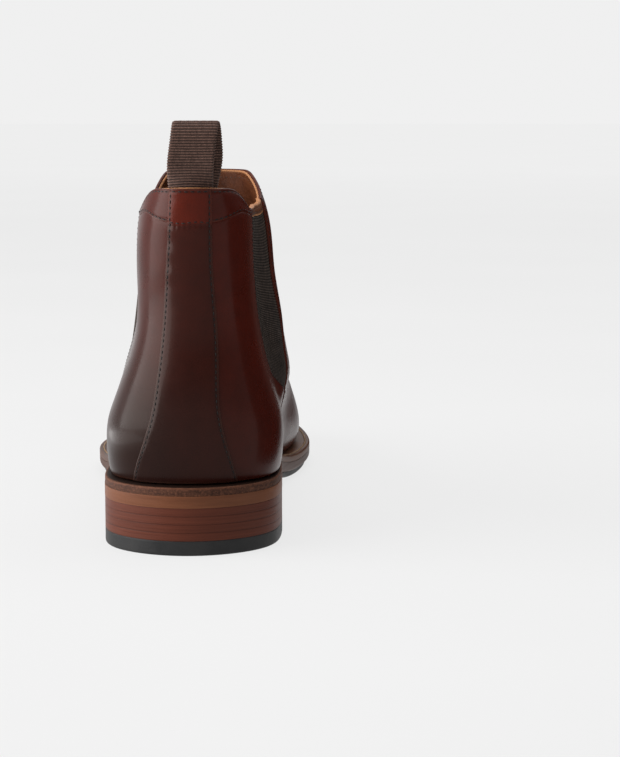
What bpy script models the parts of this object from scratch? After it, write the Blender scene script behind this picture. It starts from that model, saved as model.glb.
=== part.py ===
"""A welted leather chelsea boot for the left foot, in metres: +Z up, toe towards +Y, inner side towards +X.

The upper is one smooth foot and ankle surface. It is read by a turn t round the boot, which is 0 at the back
seam, 1 at the ridge of the instep and negative on the outer side, and by a height v, which is 0 at the sole
and 1 at the collar. Each panel is a patch of that surface, set in by its own depth. Sizes are in millimetres
up to the place where a mesh is made.
"""

import math

import bmesh
import bpy
import numpy as np

MM = 0.001

# Heights of the seat that the foot stands on, above the ground.
HEEL_SEAT = 28.9
BALL_SEAT = 11.9
SHANK_FROM, SHANK_TO = 30.0, 162.0
SPRING_FROM, SPRING_SPAN, SPRING = 176.0, 88.0, 9.6

# Collar edge: at the back, over the gores, and at the front peak.
COLLAR_BACK, COLLAR_GORE, COLLAR_FRONT = 151.6, 142.1, 156.5

# Layers of the upper, as depth under its outer face.
LEATHER = 1.3
LINING_DEPTH, LINING = 1.8, 1.0
STIFFENER_DEPTH, STIFFENER = 2.15, 0.9
LINING_DROP = 1.75
STRIP_DEPTH, STRIP = -1.7, 1.15
GORE_DEPTH, GORE = 0.5, 1.2
JOINT_GAP, BACK_SEAM_GAP = 0.0027, 0.0028

# Bottom of the boot, as depth under the seat.
GAP = 0.3
WELT = 3.4
OUTSOLE = 4.8
HALF_SOLE = 2.6
INSOLE, SOCK = 2.2, 1.4
WELT_INNER, RAND_INSET = 1.5, 0.25
HEEL_BREAST_Y = 31.0
HEEL_LIFTS = (3.1, 3.1, 3.1, 3.2)
NAIL_RADIUS, NAIL_HOLE_RADIUS, NAIL_TOP, NAIL_INSET = 0.9, 1.3, 9.0, 9.0
NAIL_TURNS = (-0.24, -0.13, 0.0, 0.13, 0.24)

# Pull loop of webbing. It swings about an axis along X just above the back collar.
LOOP_WIDTH, WEBBING = 19.0, 1.4
LOOP_AXIS_Y, LOOP_AXIS_Z = -26.3, 153.8
LOOP_FOOT_Z = 153.4
LOOP_TURN = 0.12

# Gore and side seam, in side view as (y, z).
GORE_REAR = ((62.0, 55.0), (45.0, 63.0), (25.0, 79.0), (11.5, 99.5), (6.0, 121.5), (3.5, 142.1))
GORE_FRONT = ((64.2, 55.0), (63.5, 72.0), (59.0, 92.0), (54.5, 116.0), (52.0, 142.1))
SIDE_SEAM = ((75.0, 22.6), (68.5, 38.0), (63.1, 55.0))

MATERIALS = {
    "upper_leather": ((0.075, 0.022, 0.016), 0.28, 0.0),
    "strip_leather": ((0.11, 0.022, 0.013), 0.28, 0.0),
    "lining_leather": ((0.30, 0.12, 0.045), 0.55, 0.0),
    "elastic": ((0.03, 0.026, 0.022), 0.85, 0.0),
    "webbing": ((0.075, 0.036, 0.028), 0.85, 0.0),
    "welt_leather": ((0.16, 0.07, 0.035), 0.5, 0.0),
    "sole_leather": ((0.20, 0.09, 0.045), 0.5, 0.0),
    "rand_leather": ((0.11, 0.05, 0.03), 0.6, 0.0),
    "heel_leather": ((0.20, 0.07, 0.045), 0.45, 0.0),
    "rubber": ((0.02, 0.02, 0.02), 0.6, 0.0),
    "cork": ((0.35, 0.22, 0.12), 0.9, 0.0),
    "stiffener_board": ((0.42, 0.33, 0.23), 0.8, 0.0),
    "steel": ((0.5, 0.5, 0.52), 0.35, 1.0),
    "brass": ((0.7, 0.5, 0.2), 0.35, 1.0),
}


# Curves and the foot surface


def spline(points):
    """The natural cubic through (x, y) points, as a function that runs straight beyond its ends."""
    x, y = np.array(points, float).T
    step = np.diff(x)
    system, right = np.eye(len(x)), np.zeros(len(x))
    for i in range(1, len(x) - 1):
        system[i, i - 1 : i + 2] = step[i - 1], 2 * (step[i - 1] + step[i]), step[i]
        right[i] = 6 * ((y[i + 1] - y[i]) / step[i] - (y[i] - y[i - 1]) / step[i - 1])
    bend = np.linalg.solve(system, right)
    first = (y[1] - y[0]) / step[0] - step[0] * bend[1] / 6
    last = (y[-1] - y[-2]) / step[-1] + step[-1] * bend[-2] / 6

    def at(value):
        value = np.asarray(value, float)
        inside = np.clip(value, x[0], x[-1])
        i = np.clip(np.searchsorted(x, inside) - 1, 0, len(x) - 2)
        after, before, h = x[i + 1] - inside, inside - x[i], step[i]
        curve = (bend[i] * after**3 + bend[i + 1] * before**3) / (6 * h)
        curve = curve + (y[i] / h - bend[i] * h / 6) * after + (y[i + 1] / h - bend[i + 1] * h / 6) * before
        return curve + np.minimum(value - x[0], 0) * first + np.maximum(value - x[-1], 0) * last

    return at


def smooth(share):
    """A step from 0 to 1 with no bend at either end."""
    share = np.clip(share, 0, 1)
    return share**3 * (10 + share * (6 * share - 15))


def seat_z(y):
    """Height of the seat: heel, shank, ball and toe spring."""
    y = np.asarray(y, float)
    rise = smooth((SHANK_TO - y) / (SHANK_TO - SHANK_FROM))
    spring = (np.maximum(y - SPRING_FROM, 0) / SPRING_SPAN) ** 2.2
    return BALL_SEAT + (HEEL_SEAT - BALL_SEAT) * rise + SPRING * spring


BACK_LINE = spline(
    [(21, -32.6), (30, -33.6), (41, -35.6), (53, -36.2), (67, -34.6), (83, -31.6), (99, -29.6), (115, -29.2)]
    + [(133, -30.0), (151, -31.2), (176, -32.5)]
)
RIDGE = [(261.8, 21.0), (263.2, 26.5), (261.5, 33.0), (256.0, 39.5), (246, 44.7), (230, 49.1), (208, 53.7)]
RIDGE += [(184, 59.7), (160, 67.0), (138, 75.5), (118, 86.0), (102, 98.5), (91.5, 112.5), (86, 127.5)]
RIDGE += [(83.5, 142.5), (82.5, 157.5), (82.0, 173.5)]
RIDGE_SAMPLES = 3000


def ridge_curve():
    """The middle line from the toe tip over the instep to the front collar, as close-set y and z."""
    points = np.array(RIDGE, float)
    along = np.concatenate([[0], np.cumsum(np.hypot(*np.diff(points, axis=0).T))])
    at = np.linspace(0, along[-1], RIDGE_SAMPLES)
    return spline(np.c_[along, points[:, 0]])(at), spline(np.c_[along, points[:, 1]])(at)


RIDGE_Y, RIDGE_Z = ridge_curve()
TIP = int(np.argmax(RIDGE_Y))
COLLAR_TOP = int(np.argmin(abs(RIDGE_Z - COLLAR_FRONT)))
RIDGE_SHARE = np.concatenate([[0], np.cumsum(np.hypot(np.diff(RIDGE_Y), np.diff(RIDGE_Z))[:COLLAR_TOP])])
RIDGE_SHARE /= RIDGE_SHARE[-1]


def ridge_z(y):
    return np.interp(y, RIDGE_Y[TIP:][::-1], RIDGE_Z[TIP:][::-1])


def ridge_y(z):
    return np.interp(z, RIDGE_Z, RIDGE_Y)


# Distance of the foot's wall from the middle plane by y, and of the leg's rear and front by z.
WALL = {
    1: spline(
        [(-40, 36.5), (-15, 38.6), (5, 39.6), (25, 38.8), (50, 36.2), (75, 34.8), (100, 35.6), (125, 39.0)]
        + [(148, 43.6), (168, 46.9), (186, 47.9), (204, 46.6), (222, 42.4), (241, 34.6), (262, 26.5)]
    ),
    -1: spline(
        [(-40, 35.5), (-15, 37.2), (5, 37.6), (25, 37.4), (50, 38.2), (75, 40.4), (100, 43.6), (125, 47.8)]
        + [(146, 51.8), (165, 54.4), (183, 53.8), (203, 48.4), (224, 37.6), (243, 26.0), (262, 16.5)]
    ),
}
LEG_REAR = {
    1: spline([(31, 38), (46, 38), (57, 33.0), (69, 31.2), (81, 30.2), (93, 29.2), (121, 28.7), (151, 34.0)]),
    -1: spline([(31, 36), (46, 36.2), (57, 31.5), (69, 28.7), (81, 25.9), (93, 24.2), (121, 25.6), (151, 28.0)]),
}
LEG_FRONT = {
    1: spline([(31, 38), (51, 47.2), (71, 41.3), (91, 39.5), (111, 39.1), (131, 40.2), (151, 37.9)]),
    -1: spline([(31, 38), (51, 33.1), (71, 30.9), (91, 29.6), (111, 28.5), (131, 28.1), (151, 27.9)]),
}
LEG_FROM, LEG_SPAN = {1: 32.6, -1: -5.0}, {1: 34.6, -1: 60.0}
HEEL_UNDERCUT, UNDERCUT, ROLL = 0.045, 0.115, 5.5
FOOT_HEIGHT, FOOT_BLEND = {1: 33.0, -1: 30.6}, 16.0
HEEL_ROUND = spline([(31, 33), (61, 31), (101, 30.7), (151, 42.4)])
INSTEP_ROUND = spline([(60, 72), (110, 65.9), (160, 43.0), (210, 44), (262, 36)])
TOE_ROUND, SHIN_ROUND = 15.0, 46.0


def centre_x(y, z):
    """How far the boot's middle swings inwards, up the leg and along the toe."""
    return 1.3 * smooth((z - 31) / 80) + 1.8 * smooth((y + 10) / 90) + 3.2 * smooth((y - 60) / 190)


def half_width(y, z, side):
    above = np.maximum(z - seat_z(y), 0)
    rear, front = LEG_REAR[side](z), LEG_FRONT[side](z)
    leg = rear + (front - rear) * smooth((y - LEG_FROM[side]) / LEG_SPAN[side])
    foot = 0.5 * (1 - np.tanh((above - FOOT_HEIGHT[side]) / FOOT_BLEND))
    width = leg + (WALL[side](y) - leg) * foot - side * centre_x(y, z)
    undercut = HEEL_UNDERCUT + (UNDERCUT - HEEL_UNDERCUT) * smooth((y - 30) / 70)
    width = width * (1 - undercut * np.exp(-above / ROLL))
    heel = np.tanh(2 * np.maximum(y - BACK_LINE(z), 0) / HEEL_ROUND(z))
    down = np.maximum(ridge_z(y) - z, 0) / INSTEP_ROUND(y)
    across = np.maximum(ridge_y(z) - y, 0) / (TOE_ROUND + (SHIN_ROUND - TOE_ROUND) * smooth((z - 41) / 60))
    both = down * across / np.maximum(np.hypot(down, across), 1e-9)
    return width * np.sqrt(heel * np.tanh(2 * both))


def collar_z(y):
    back, front = smooth((2.0 - y) / 26.0), smooth((y - 42.0) / 34.0)
    return COLLAR_GORE + (COLLAR_BACK - COLLAR_GORE) * back + (COLLAR_FRONT - COLLAR_GORE) * front


SEAT_BACK_Z = float(seat_z(-33.0))
SEAT_BACK_Y = float(BACK_LINE(SEAT_BACK_Z))
TOE_Y, TOE_Z = float(RIDGE_Y[0]), float(seat_z(RIDGE_Y[0]))
COLLAR_BACK_Y = float(BACK_LINE(COLLAR_BACK))
COLLAR_FRONT_Y = float(RIDGE_Y[COLLAR_TOP])


def side_point(u, v):
    """Side view (y, z) at a share u from back to front and v from seat to collar: a Coons patch."""
    back_z = SEAT_BACK_Z + (COLLAR_BACK - SEAT_BACK_Z) * v
    seat_y = SEAT_BACK_Y + (TOE_Y - SEAT_BACK_Y) * u
    collar_y = COLLAR_BACK_Y + (COLLAR_FRONT_Y - COLLAR_BACK_Y) * u
    front_y = np.interp(v, RIDGE_SHARE, RIDGE_Y[: COLLAR_TOP + 1])
    front_z = np.interp(v, RIDGE_SHARE, RIDGE_Z[: COLLAR_TOP + 1])
    corners_y = (SEAT_BACK_Y, TOE_Y, COLLAR_BACK_Y, COLLAR_FRONT_Y)
    corners_z = (SEAT_BACK_Z, TOE_Z, COLLAR_BACK, COLLAR_FRONT)
    y = coons(u, v, BACK_LINE(back_z), front_y, seat_y, collar_y, corners_y)
    z = coons(u, v, back_z, front_z, seat_z(seat_y), collar_z(collar_y), corners_z)
    return y, z


def coons(u, v, back, front, low, high, corners):
    ruled = (1 - u) * back + u * front + (1 - v) * low + v * high
    a, b, c, d = corners
    return ruled - ((1 - u) * (1 - v) * a + u * (1 - v) * b + (1 - u) * v * c + u * v * d)


def surface(t, v):
    """Points of the upper's outer face. A turn past 1 comes back on the outer side."""
    t, v = np.broadcast_arrays(np.asarray(t, float), np.asarray(v, float))
    t = np.mod(t + 1, 2) - 1
    y, z = side_point((1 - np.cos(math.pi * np.abs(t))) / 2, v)
    x = np.where(t >= 0, half_width(y, z, 1), -half_width(y, z, -1)) + centre_x(y, z)
    return np.stack([x, y, z], -1)


def layer(t, v, depth):
    """Points of the upper at a depth under its outer face."""
    step = 1e-3
    along = surface(t + step, v) - surface(t - step, v)
    low, high = np.maximum(v - step, 0), np.minimum(v + step, 1)
    up = surface(t, high) - surface(t, low)
    normal = np.cross(along, up)
    normal /= np.linalg.norm(normal, axis=-1, keepdims=True)
    return surface(t, v) - normal * np.asarray(depth)[..., None]


def turn_and_height(y, z):
    """The (t, v) of a place in side view, by Newton's method."""
    u, v, step = 0.35, 0.5, 1e-4
    for _ in range(30):
        at = np.array(side_point(u, v))
        du = (np.array(side_point(u + step, v)) - at) / step
        dv = (np.array(side_point(u, v + step)) - at) / step
        change = np.linalg.solve(np.c_[du, dv], np.array([y, z]) - at)
        u, v = np.clip(u + change[0], 0.001, 0.999), np.clip(v + change[1], 0, 0.999)
    return math.acos(1 - 2 * u) / math.pi, v


def edge(points):
    """A panel edge given in side view, as the turn t at each height v."""
    turns = sorted((v, t) for t, v in (turn_and_height(y, z) for y, z in points))
    return spline(turns)


REAR, FRONT, SEAM = edge(GORE_REAR), edge(GORE_FRONT), edge(SIDE_SEAM)
TIP_V = turn_and_height(*SIDE_SEAM[-1])[1]


def rear_edge(v):
    """Front edge of a quarter: the side seam, then the gore's rear edge."""
    return np.where(v < TIP_V, SEAM(v), REAR(v)) - JOINT_GAP


def front_edge(v):
    """Rear edge of the vamp: the side seam, then the gore's front edge."""
    return np.where(v < TIP_V, SEAM(v), FRONT(v)) + JOINT_GAP


def outline(t, out):
    """The featherline in plan, moved out by a distance, with its height on the seat."""
    t, out = np.broadcast_arrays(np.asarray(t, float), np.asarray(out, float))
    step = 1e-3
    at, along = surface(t, np.zeros_like(t)), surface(t + step, 0 * t) - surface(t - step, 0 * t)
    size = np.hypot(along[..., 0], along[..., 1])
    x, y = at[..., 0] + along[..., 1] / size * out, at[..., 1] - along[..., 0] / size * out
    return np.stack([x, y, seat_z(y)], -1)


SOLE_OUT = spline(
    [(-1, 6.5), (-0.9, 6.9), (-0.78, 9.2), (-0.66, 10.8), (-0.5, 6.8), (-0.4, 4.2), (-0.3, 2.6), (-0.2, 3.0)]
    + [(-0.1, 6.0), (0, 7.4), (0.1, 5.5), (0.2, 1.8), (0.3, 1.3), (0.4, 3.0), (0.5, 5.4), (0.66, 8.4)]
    + [(0.78, 7.6), (0.9, 6.7), (1, 6.5)]
)


def sole_out(t):
    """How far the sole stands out from the featherline."""
    t = np.asarray(t, float)
    return SOLE_OUT(np.mod(t + 1, 2) - 1)


def turn_at_y(y):
    return math.acos(1 - 2 * (y - SEAT_BACK_Y) / (TOE_Y - SEAT_BACK_Y)) / math.pi


BREAST_TURN = turn_at_y(HEEL_BREAST_Y)

# Blender objects


def clear_scene():
    for obj in list(bpy.data.objects):
        bpy.data.objects.remove(obj, do_unlink=True)


def new_collection(name):
    collection = bpy.data.collections.new(name)
    bpy.context.scene.collection.children.link(collection)
    return collection


def make_material(name):
    colour, roughness, metallic = MATERIALS[name]
    material = bpy.data.materials.new(name)
    material.use_nodes = True
    shader = material.node_tree.nodes["Principled BSDF"]
    shader.inputs["Base Color"].default_value = (*colour, 1)
    shader.inputs["Roughness"].default_value = roughness
    shader.inputs["Metallic"].default_value = metallic
    return material


def add_object(name, data, material):
    obj = bpy.data.objects.new(name, data)
    data.materials.append(bpy.data.materials[material])
    bpy.data.collections["chelsea_boot"].objects.link(obj)
    return obj


def grid_mesh(name, points):
    """An open surface through a grid of points in millimetres, its rows running down the outer side."""
    rows, cols = points.shape[:2]
    corners = [(r * cols + c, r * cols + c + 1) for r in range(rows - 1) for c in range(cols - 1)]
    faces = [(a, b, b + cols, a + cols) for a, b in corners]
    mesh = bpy.data.meshes.new(name)
    mesh.from_pydata((points.reshape(-1, 3) * MM).tolist(), [], faces)
    tidy = bmesh.new()
    tidy.from_mesh(mesh)
    bmesh.ops.remove_doubles(tidy, verts=tidy.verts, dist=0.02 * MM)
    bmesh.ops.dissolve_degenerate(tidy, edges=tidy.edges, dist=0.01 * MM)
    tidy.to_mesh(mesh)
    tidy.free()
    mesh.shade_smooth()
    return mesh


def thick_sheet(name, points, thickness, material, offset=-1):
    """A sheet of even thickness under the grid's face."""
    obj = add_object(name, grid_mesh(name, points), material)
    solidify = obj.modifiers.new("thickness", "SOLIDIFY")
    solidify.thickness = thickness * MM
    solidify.offset = offset
    solidify.use_even_offset = True
    solidify.use_quality_normals = True
    return obj


def panel(name, left, right, low, high, rows, cols, depth, thickness, material):
    """A patch of the upper between two edges t(v) and two heights v, the high one a function of the share."""
    share = np.linspace(0, 1, cols)[None, :]
    v = low(share) + (high(share) - low(share)) * np.asarray(rows)[:, None]
    t = left(v) + (right(v) - left(v)) * share
    return thick_sheet(name, layer(t, v, depth(t, v)), thickness, material)


def level(value):
    """A function that gives one value everywhere."""
    return lambda share: np.full_like(share, value)


def even_depth(value):
    return lambda t, v: np.full_like(t, value)


def heights(below, above, power=1.5):
    """Row shares from the sole to the collar, closer at the sole, with one row at the gore's tip."""
    low = TIP_V * np.linspace(0, 1, below) ** power
    return np.concatenate([low, np.linspace(TIP_V, 1, above)[1:]])


# The upper

FRONT_ROWS, FRONT_COLS = heights(9, 11), 33
BAND_LOW = spline(
    [(-1, 0.986), (-0.8, 0.966), (-0.6, 0.928), (-0.25, 0.888), (0, 0.885), (0.25, 0.888), (0.6, 0.928), (0.8, 0.966)]
    + [(1, 0.986)]
)
BAND_GAP = 0.0025
COUNTER_TOP, COUNTER_TURN = 0.34, 0.36
PUFF_TURN, PUFF_TOP = 0.79, 0.22


def quarter(name, side):
    """Rear side panel, from the back seam to the side seam and gore, under the collar band."""
    rows, cols = heights(8, 12), 12

    def back(v):
        return np.full_like(v, side * BACK_SEAM_GAP)

    def front(v):
        return side * rear_edge(v)

    edges = (back, front) if side > 0 else (front, back)
    share_top = (lambda s: BAND_LOW(s)) if side > 0 else (lambda s: BAND_LOW(1 - s))
    panel(name, *edges, level(0.003), share_top, rows, cols, even_depth(0.0), LEATHER, "upper_leather")


def collar_band():
    """Crescent facing round the back of the collar, from gore to gore."""

    def share_low(share):
        return BAND_LOW(2 * share - 1) + BAND_GAP

    panel(
        "collar_band", lambda v: -rear_edge(v), rear_edge, share_low, level(1.0),
        np.linspace(0, 1, 4), 22, even_depth(0.0), LEATHER, "upper_leather",
    )


STRIP_LATERAL = spline([(0, 0.105), (0.2, 0.074), (0.45, 0.082), (0.7, 0.090), (0.9, 0.097), (1, 0.105)])
STRIP_MEDIAL = spline([(0, 0.088), (0.2, 0.062), (0.45, 0.070), (0.7, 0.080), (0.9, 0.092), (1, 0.100)])


def back_strip():
    """Strap sewn over the back seam, from the seat to the collar."""
    panel(
        "back_strip", lambda v: -STRIP_LATERAL(v), STRIP_MEDIAL, level(0.006), level(1.0),
        np.linspace(0, 1, 18), 6, even_depth(STRIP_DEPTH), STRIP, "strip_leather",
    )


def vamp():
    """Front of the boot in one piece, over the instep and up the front of the shaft."""
    panel(
        "vamp", front_edge, lambda v: 2 - front_edge(v), level(0.0), level(1.0),
        FRONT_ROWS, FRONT_COLS, even_depth(0.0), LEATHER, "upper_leather",
    )


GORE_LOW, GORE_HIGH, BINDING_LOW = 0.012, 0.978, 0.981


def gore(name, side):
    """Elastic gusset in the V between quarter and vamp."""

    def rear(v):
        return side * (REAR(v) + JOINT_GAP)

    def front(v):
        return side * (FRONT(v) - JOINT_GAP)

    edges = (rear, front) if side > 0 else (front, rear)
    panel(
        name, *edges, level(TIP_V + GORE_LOW), level(GORE_HIGH),
        np.linspace(0, 1, 14), 7, even_depth(GORE_DEPTH), GORE, "elastic",
    )
    panel(
        name.replace("gore", "gore_binding"), *edges, level(BINDING_LOW), level(1.0),
        np.linspace(0, 1, 3), 7, even_depth(0.2), 1.9, "lining_leather",
    )


def stiffened(t, v):
    """1 over the heel counter and the toe puff, 0 clear of them."""
    turn = np.abs(np.mod(t + 1, 2) - 1)
    heel = smooth((COUNTER_TURN + 0.1 - turn) / 0.08) * smooth((COUNTER_TOP + 0.11 - v) / 0.09)
    toe = smooth((turn - PUFF_TURN + 0.1) / 0.08) * smooth((PUFF_TOP + 0.1 - v) / 0.08)
    return np.maximum(heel, toe)


def lining_depth(t, v):
    return LINING_DEPTH + LINING_DROP * stiffened(t, v)


def front_lining():
    panel(
        "front_lining", front_edge, lambda v: 2 - front_edge(v), level(0.018), level(0.996),
        FRONT_ROWS, FRONT_COLS, lining_depth, LINING, "lining_leather",
    )


def quarter_lining():
    panel(
        "quarter_lining", lambda v: -rear_edge(v), rear_edge, level(0.01), level(0.994),
        heights(8, 9), 23, lining_depth, LINING, "lining_leather",
    )


def heel_counter():
    """Moulded stiffener round the heel, between quarters and lining."""
    panel(
        "heel_counter", level(-COUNTER_TURN), level(COUNTER_TURN), level(0.02), level(COUNTER_TOP),
        np.linspace(0, 1, 9), 25, even_depth(STIFFENER_DEPTH), STIFFENER, "stiffener_board",
    )


def toe_puff():
    """Stiffener over the toe, between vamp and lining."""
    panel(
        "toe_puff", level(PUFF_TURN), level(2 - PUFF_TURN), level(0.012), level(PUFF_TOP),
        np.linspace(0, 1, 9) ** 1.4, 17, even_depth(STIFFENER_DEPTH), STIFFENER, "stiffener_board",
    )


# The bottom


def plate(name, turn_from, turn_to, out, down, thickness, material, rows=26, cols=5):
    """A plate on the seat between two turns, from side to side, with its outline moved out."""
    turns = np.linspace(turn_from, turn_to, rows)[:, None]
    inner, outer = outline(turns, out(turns)), outline(-turns, out(-turns))
    share = np.linspace(0, 1, cols)[None, :, None]
    points = outer + (inner - outer) * share
    points[..., 2] = seat_z(points[..., 1]) - down
    return thick_sheet(name, points[:, ::-1][::-1], thickness, material)


def rim(name, turn_from, turn_to, inner, outer, down, thickness, material, rows):
    """A strip that follows the featherline between two distances from it."""
    turns = np.linspace(turn_from, turn_to, rows)[:, None]
    share = np.linspace(0, 1, 3)[None, :]
    points = outline(turns, outer(turns) + (inner(turns) - outer(turns)) * share)
    points[..., 2] -= down
    return thick_sheet(name, points[::-1], thickness, material)


def outline_inset(distance):
    return lambda turns: np.full_like(turns, -distance)


def bottom():
    under_welt = GAP + WELT + GAP
    under_outsole = under_welt + OUTSOLE + GAP
    rim(
        "welt", BREAST_TURN, 2 - BREAST_TURN, outline_inset(WELT_INNER), sole_out,
        GAP, WELT, "welt_leather", 57,
    )
    rim(
        "heel_rand", -BREAST_TURN + 0.002, BREAST_TURN - 0.002, outline_inset(WELT_INNER),
        lambda turns: sole_out(turns) - RAND_INSET, GAP, WELT, "rand_leather", 25,
    )
    plate("outsole", 0.0, 1.0, sole_out, under_welt, OUTSOLE, "sole_leather", rows=44)
    plate(
        "forepart_sole", turn_at_y(118.0), 1.0, lambda turns: sole_out(turns) - 0.8,
        under_outsole, HALF_SOLE, "rubber", rows=22,
    )
    plate("insole", 0.0, 1.0, outline_inset(5.4), -INSOLE, INSOLE, "stiffener_board", rows=30)
    plate("sock_liner", 0.0, 1.0, outline_inset(5.6), -INSOLE - GAP - SOCK, SOCK, "lining_leather", rows=30)
    plate("cork_filler", turn_at_y(92.0), 1.0, outline_inset(2.2), GAP, WELT, "cork", rows=18)


def shank():
    """Spring steel strip under the arch of the insole."""
    y = np.linspace(-12.0, 88.0, 14)[:, None]
    x = np.linspace(8.0, -8.0, 3)[None, :] + centre_x(y, seat_z(y))
    points = np.stack(np.broadcast_arrays(x, y, seat_z(y) - 0.9), -1)
    thick_sheet("shank", points[::-1], 1.3, "steel")


# The heel


def heel_outline(inset):
    """Points of the heel in plan, with a breast that bows in a little."""
    turns = np.linspace(-BREAST_TURN, BREAST_TURN, 33)
    points = outline(turns, sole_out(turns) - inset)[:, :2]
    bow = np.linspace(0, 1, 9)[1:-1, None]
    breast = points[-1] + (points[0] - points[-1]) * bow
    breast[:, 1] -= 2.5 * np.sin(math.pi * bow[:, 0])
    return np.concatenate([points, breast])


def extruded(name, points, low, high, material, bevel):
    """A flat outline of the heel's plan, as a 2D curve made into a mesh."""
    curve = bpy.data.curves.new(name, "CURVE")
    curve.dimensions, curve.fill_mode = "2D", "BOTH"
    curve.extrude = ((high - low) / 2 - bevel) * MM
    curve.bevel_depth, curve.bevel_resolution = bevel * MM, 1
    path = curve.splines.new("POLY")
    path.points.add(len(points) - 1)
    path.use_cyclic_u = True
    for place, (x, y) in zip(path.points, points):
        place.co = (x * MM, y * MM, 0, 1)
    guide = bpy.data.objects.new(name + "_guide", curve)
    bpy.context.scene.collection.objects.link(guide)
    graph = bpy.context.evaluated_depsgraph_get()
    mesh = bpy.data.meshes.new_from_object(guide.evaluated_get(graph))
    bpy.data.objects.remove(guide, do_unlink=True)
    tidy = bmesh.new()
    tidy.from_mesh(mesh)
    bmesh.ops.remove_doubles(tidy, verts=tidy.verts, dist=0.001 * MM)
    bmesh.ops.recalc_face_normals(tidy, faces=tidy.faces)
    tidy.to_mesh(mesh)
    tidy.free()
    mesh.materials.clear()
    obj = add_object(name, mesh, material)
    obj.location.z = (low + high) / 2 * MM
    return obj


def cylinder(radius, low, high, place, collection):
    """A small upright cylinder in one of the collections."""
    bpy.ops.mesh.primitive_cylinder_add(
        vertices=10, radius=radius * MM, depth=(high - low) * MM,
        location=(place[0] * MM, place[1] * MM, (low + high) / 2 * MM),
    )
    obj = bpy.context.object
    for other in list(obj.users_collection):
        other.objects.unlink(obj)
    bpy.data.collections[collection].objects.link(obj)
    return obj


def drill(obj, places):
    """Nail holes in one layer of the heel."""
    for number, place in enumerate(places, 1):
        cutter = cylinder(NAIL_HOLE_RADIUS, -2.0, NAIL_TOP + GAP, place, "chelsea_boot_cutters")
        cutter.name = f"{obj.name}_hole_{number}"
        cutter.hide_render, cutter.display_type = True, "WIRE"
        cut = obj.modifiers.new(cutter.name, "BOOLEAN")
        cut.operation, cut.solver, cut.object = "DIFFERENCE", "EXACT", cutter


def heel():
    """Leather lifts on a rubber top piece, held by nails."""
    top = HEEL_SEAT - GAP - WELT - GAP - OUTSOLE - GAP
    places = outline(np.array(NAIL_TURNS), sole_out(np.array(NAIL_TURNS)) - NAIL_INSET)
    for number, thickness in enumerate(HEEL_LIFTS, 1):
        lift = extruded(f"heel_lift_{number}", heel_outline(0.25), top - thickness, top, "heel_leather", 0.2)
        top -= thickness + GAP
    drill(lift, places)
    drill(extruded("heel_top_piece", heel_outline(0.1), 0.0, top, "rubber", 0.5), places)
    for number, place in enumerate(places, 1):
        nail = cylinder(NAIL_RADIUS, 0.4, NAIL_TOP, place, "chelsea_boot")
        nail.name = nail.data.name = f"heel_nail_{number}"
        nail.data.materials.append(bpy.data.materials["brass"])


# The pull loop


def loop_path():
    """Middle of the webbing as (x, y, z), from the rear foot over the top to the front foot."""
    points = np.array(
        [(1.2, -27.2, LOOP_FOOT_Z), (1.6, -28.3, 160.5), (2.6, -29.2, 169.5), (3.4, -28.6, 175.6), (3.9, -25.4, 178.6)]
        + [(4.2, -21.5, 176.6), (4.3, -19.2, 170.5), (3.9, -20.0, 162.5), (1.6, -24.9, LOOP_FOOT_Z)]
    )
    along = np.concatenate([[0], np.cumsum(np.linalg.norm(np.diff(points, axis=0), axis=1))])
    at = np.linspace(0, along[-1], 27)
    return np.stack([spline(np.c_[along, points[:, axis]])(at) for axis in range(3)], -1)


def webbing_strip(name, path):
    across = np.linspace(-LOOP_WIDTH / 2, LOOP_WIDTH / 2, 3)[None, :, None] * np.array([1.0, 0.0, 0.0])
    return thick_sheet(name, path[:, None, :] + across, WEBBING, "webbing", offset=0)


def pull_loop():
    """The free loop, with its origin on its swing axis, and the two ends sewn inside the back collar."""
    pivot = np.array([0.0, LOOP_AXIS_Y, LOOP_AXIS_Z])
    loop = webbing_strip("pull_loop", loop_path() - pivot)
    loop.location = tuple(pivot * MM)
    for name, turn, depth in (("loop_end_rear", 0.0, 3.4), ("loop_end_front", 0.012, 5.3)):
        panel(
            name, level(turn - LOOP_TURN), level(turn + LOOP_TURN), level(0.84), level(0.985),
            np.linspace(0, 1, 4), 7, even_depth(depth), WEBBING, "webbing",
        )


def build():
    clear_scene()
    new_collection("chelsea_boot")
    new_collection("chelsea_boot_cutters")
    for name in MATERIALS:
        make_material(name)
    for name, side in (("medial", 1), ("lateral", -1)):
        quarter(f"quarter_{name}", side)
        gore(f"gore_{name}", side)
    vamp()
    collar_band()
    back_strip()
    front_lining()
    quarter_lining()
    heel_counter()
    toe_puff()
    bottom()
    shank()
    heel()
    pull_loop()


build()
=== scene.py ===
"""The looks of the chelsea boot: leather, stitching, elastic, webbing and sole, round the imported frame.

The upper is one smooth surface, read by a turn t round the boot (0 at the back seam, 1 at the instep ridge,
negative on the outer side) and a height v (0 at the sole, 1 at the collar), as the model's own source has it.
Sizes are in millimetres up to the place where a mesh is made.
"""

import math

import bmesh
import bpy
import numpy as np
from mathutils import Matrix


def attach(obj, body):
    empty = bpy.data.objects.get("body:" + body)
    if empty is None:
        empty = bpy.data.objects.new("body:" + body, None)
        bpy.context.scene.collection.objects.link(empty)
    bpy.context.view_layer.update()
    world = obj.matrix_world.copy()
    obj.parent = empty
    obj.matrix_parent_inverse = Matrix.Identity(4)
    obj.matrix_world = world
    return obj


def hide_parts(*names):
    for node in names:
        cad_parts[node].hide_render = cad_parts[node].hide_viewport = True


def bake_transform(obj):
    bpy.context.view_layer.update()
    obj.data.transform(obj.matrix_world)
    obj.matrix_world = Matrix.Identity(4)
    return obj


MM = 0.001

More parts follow.
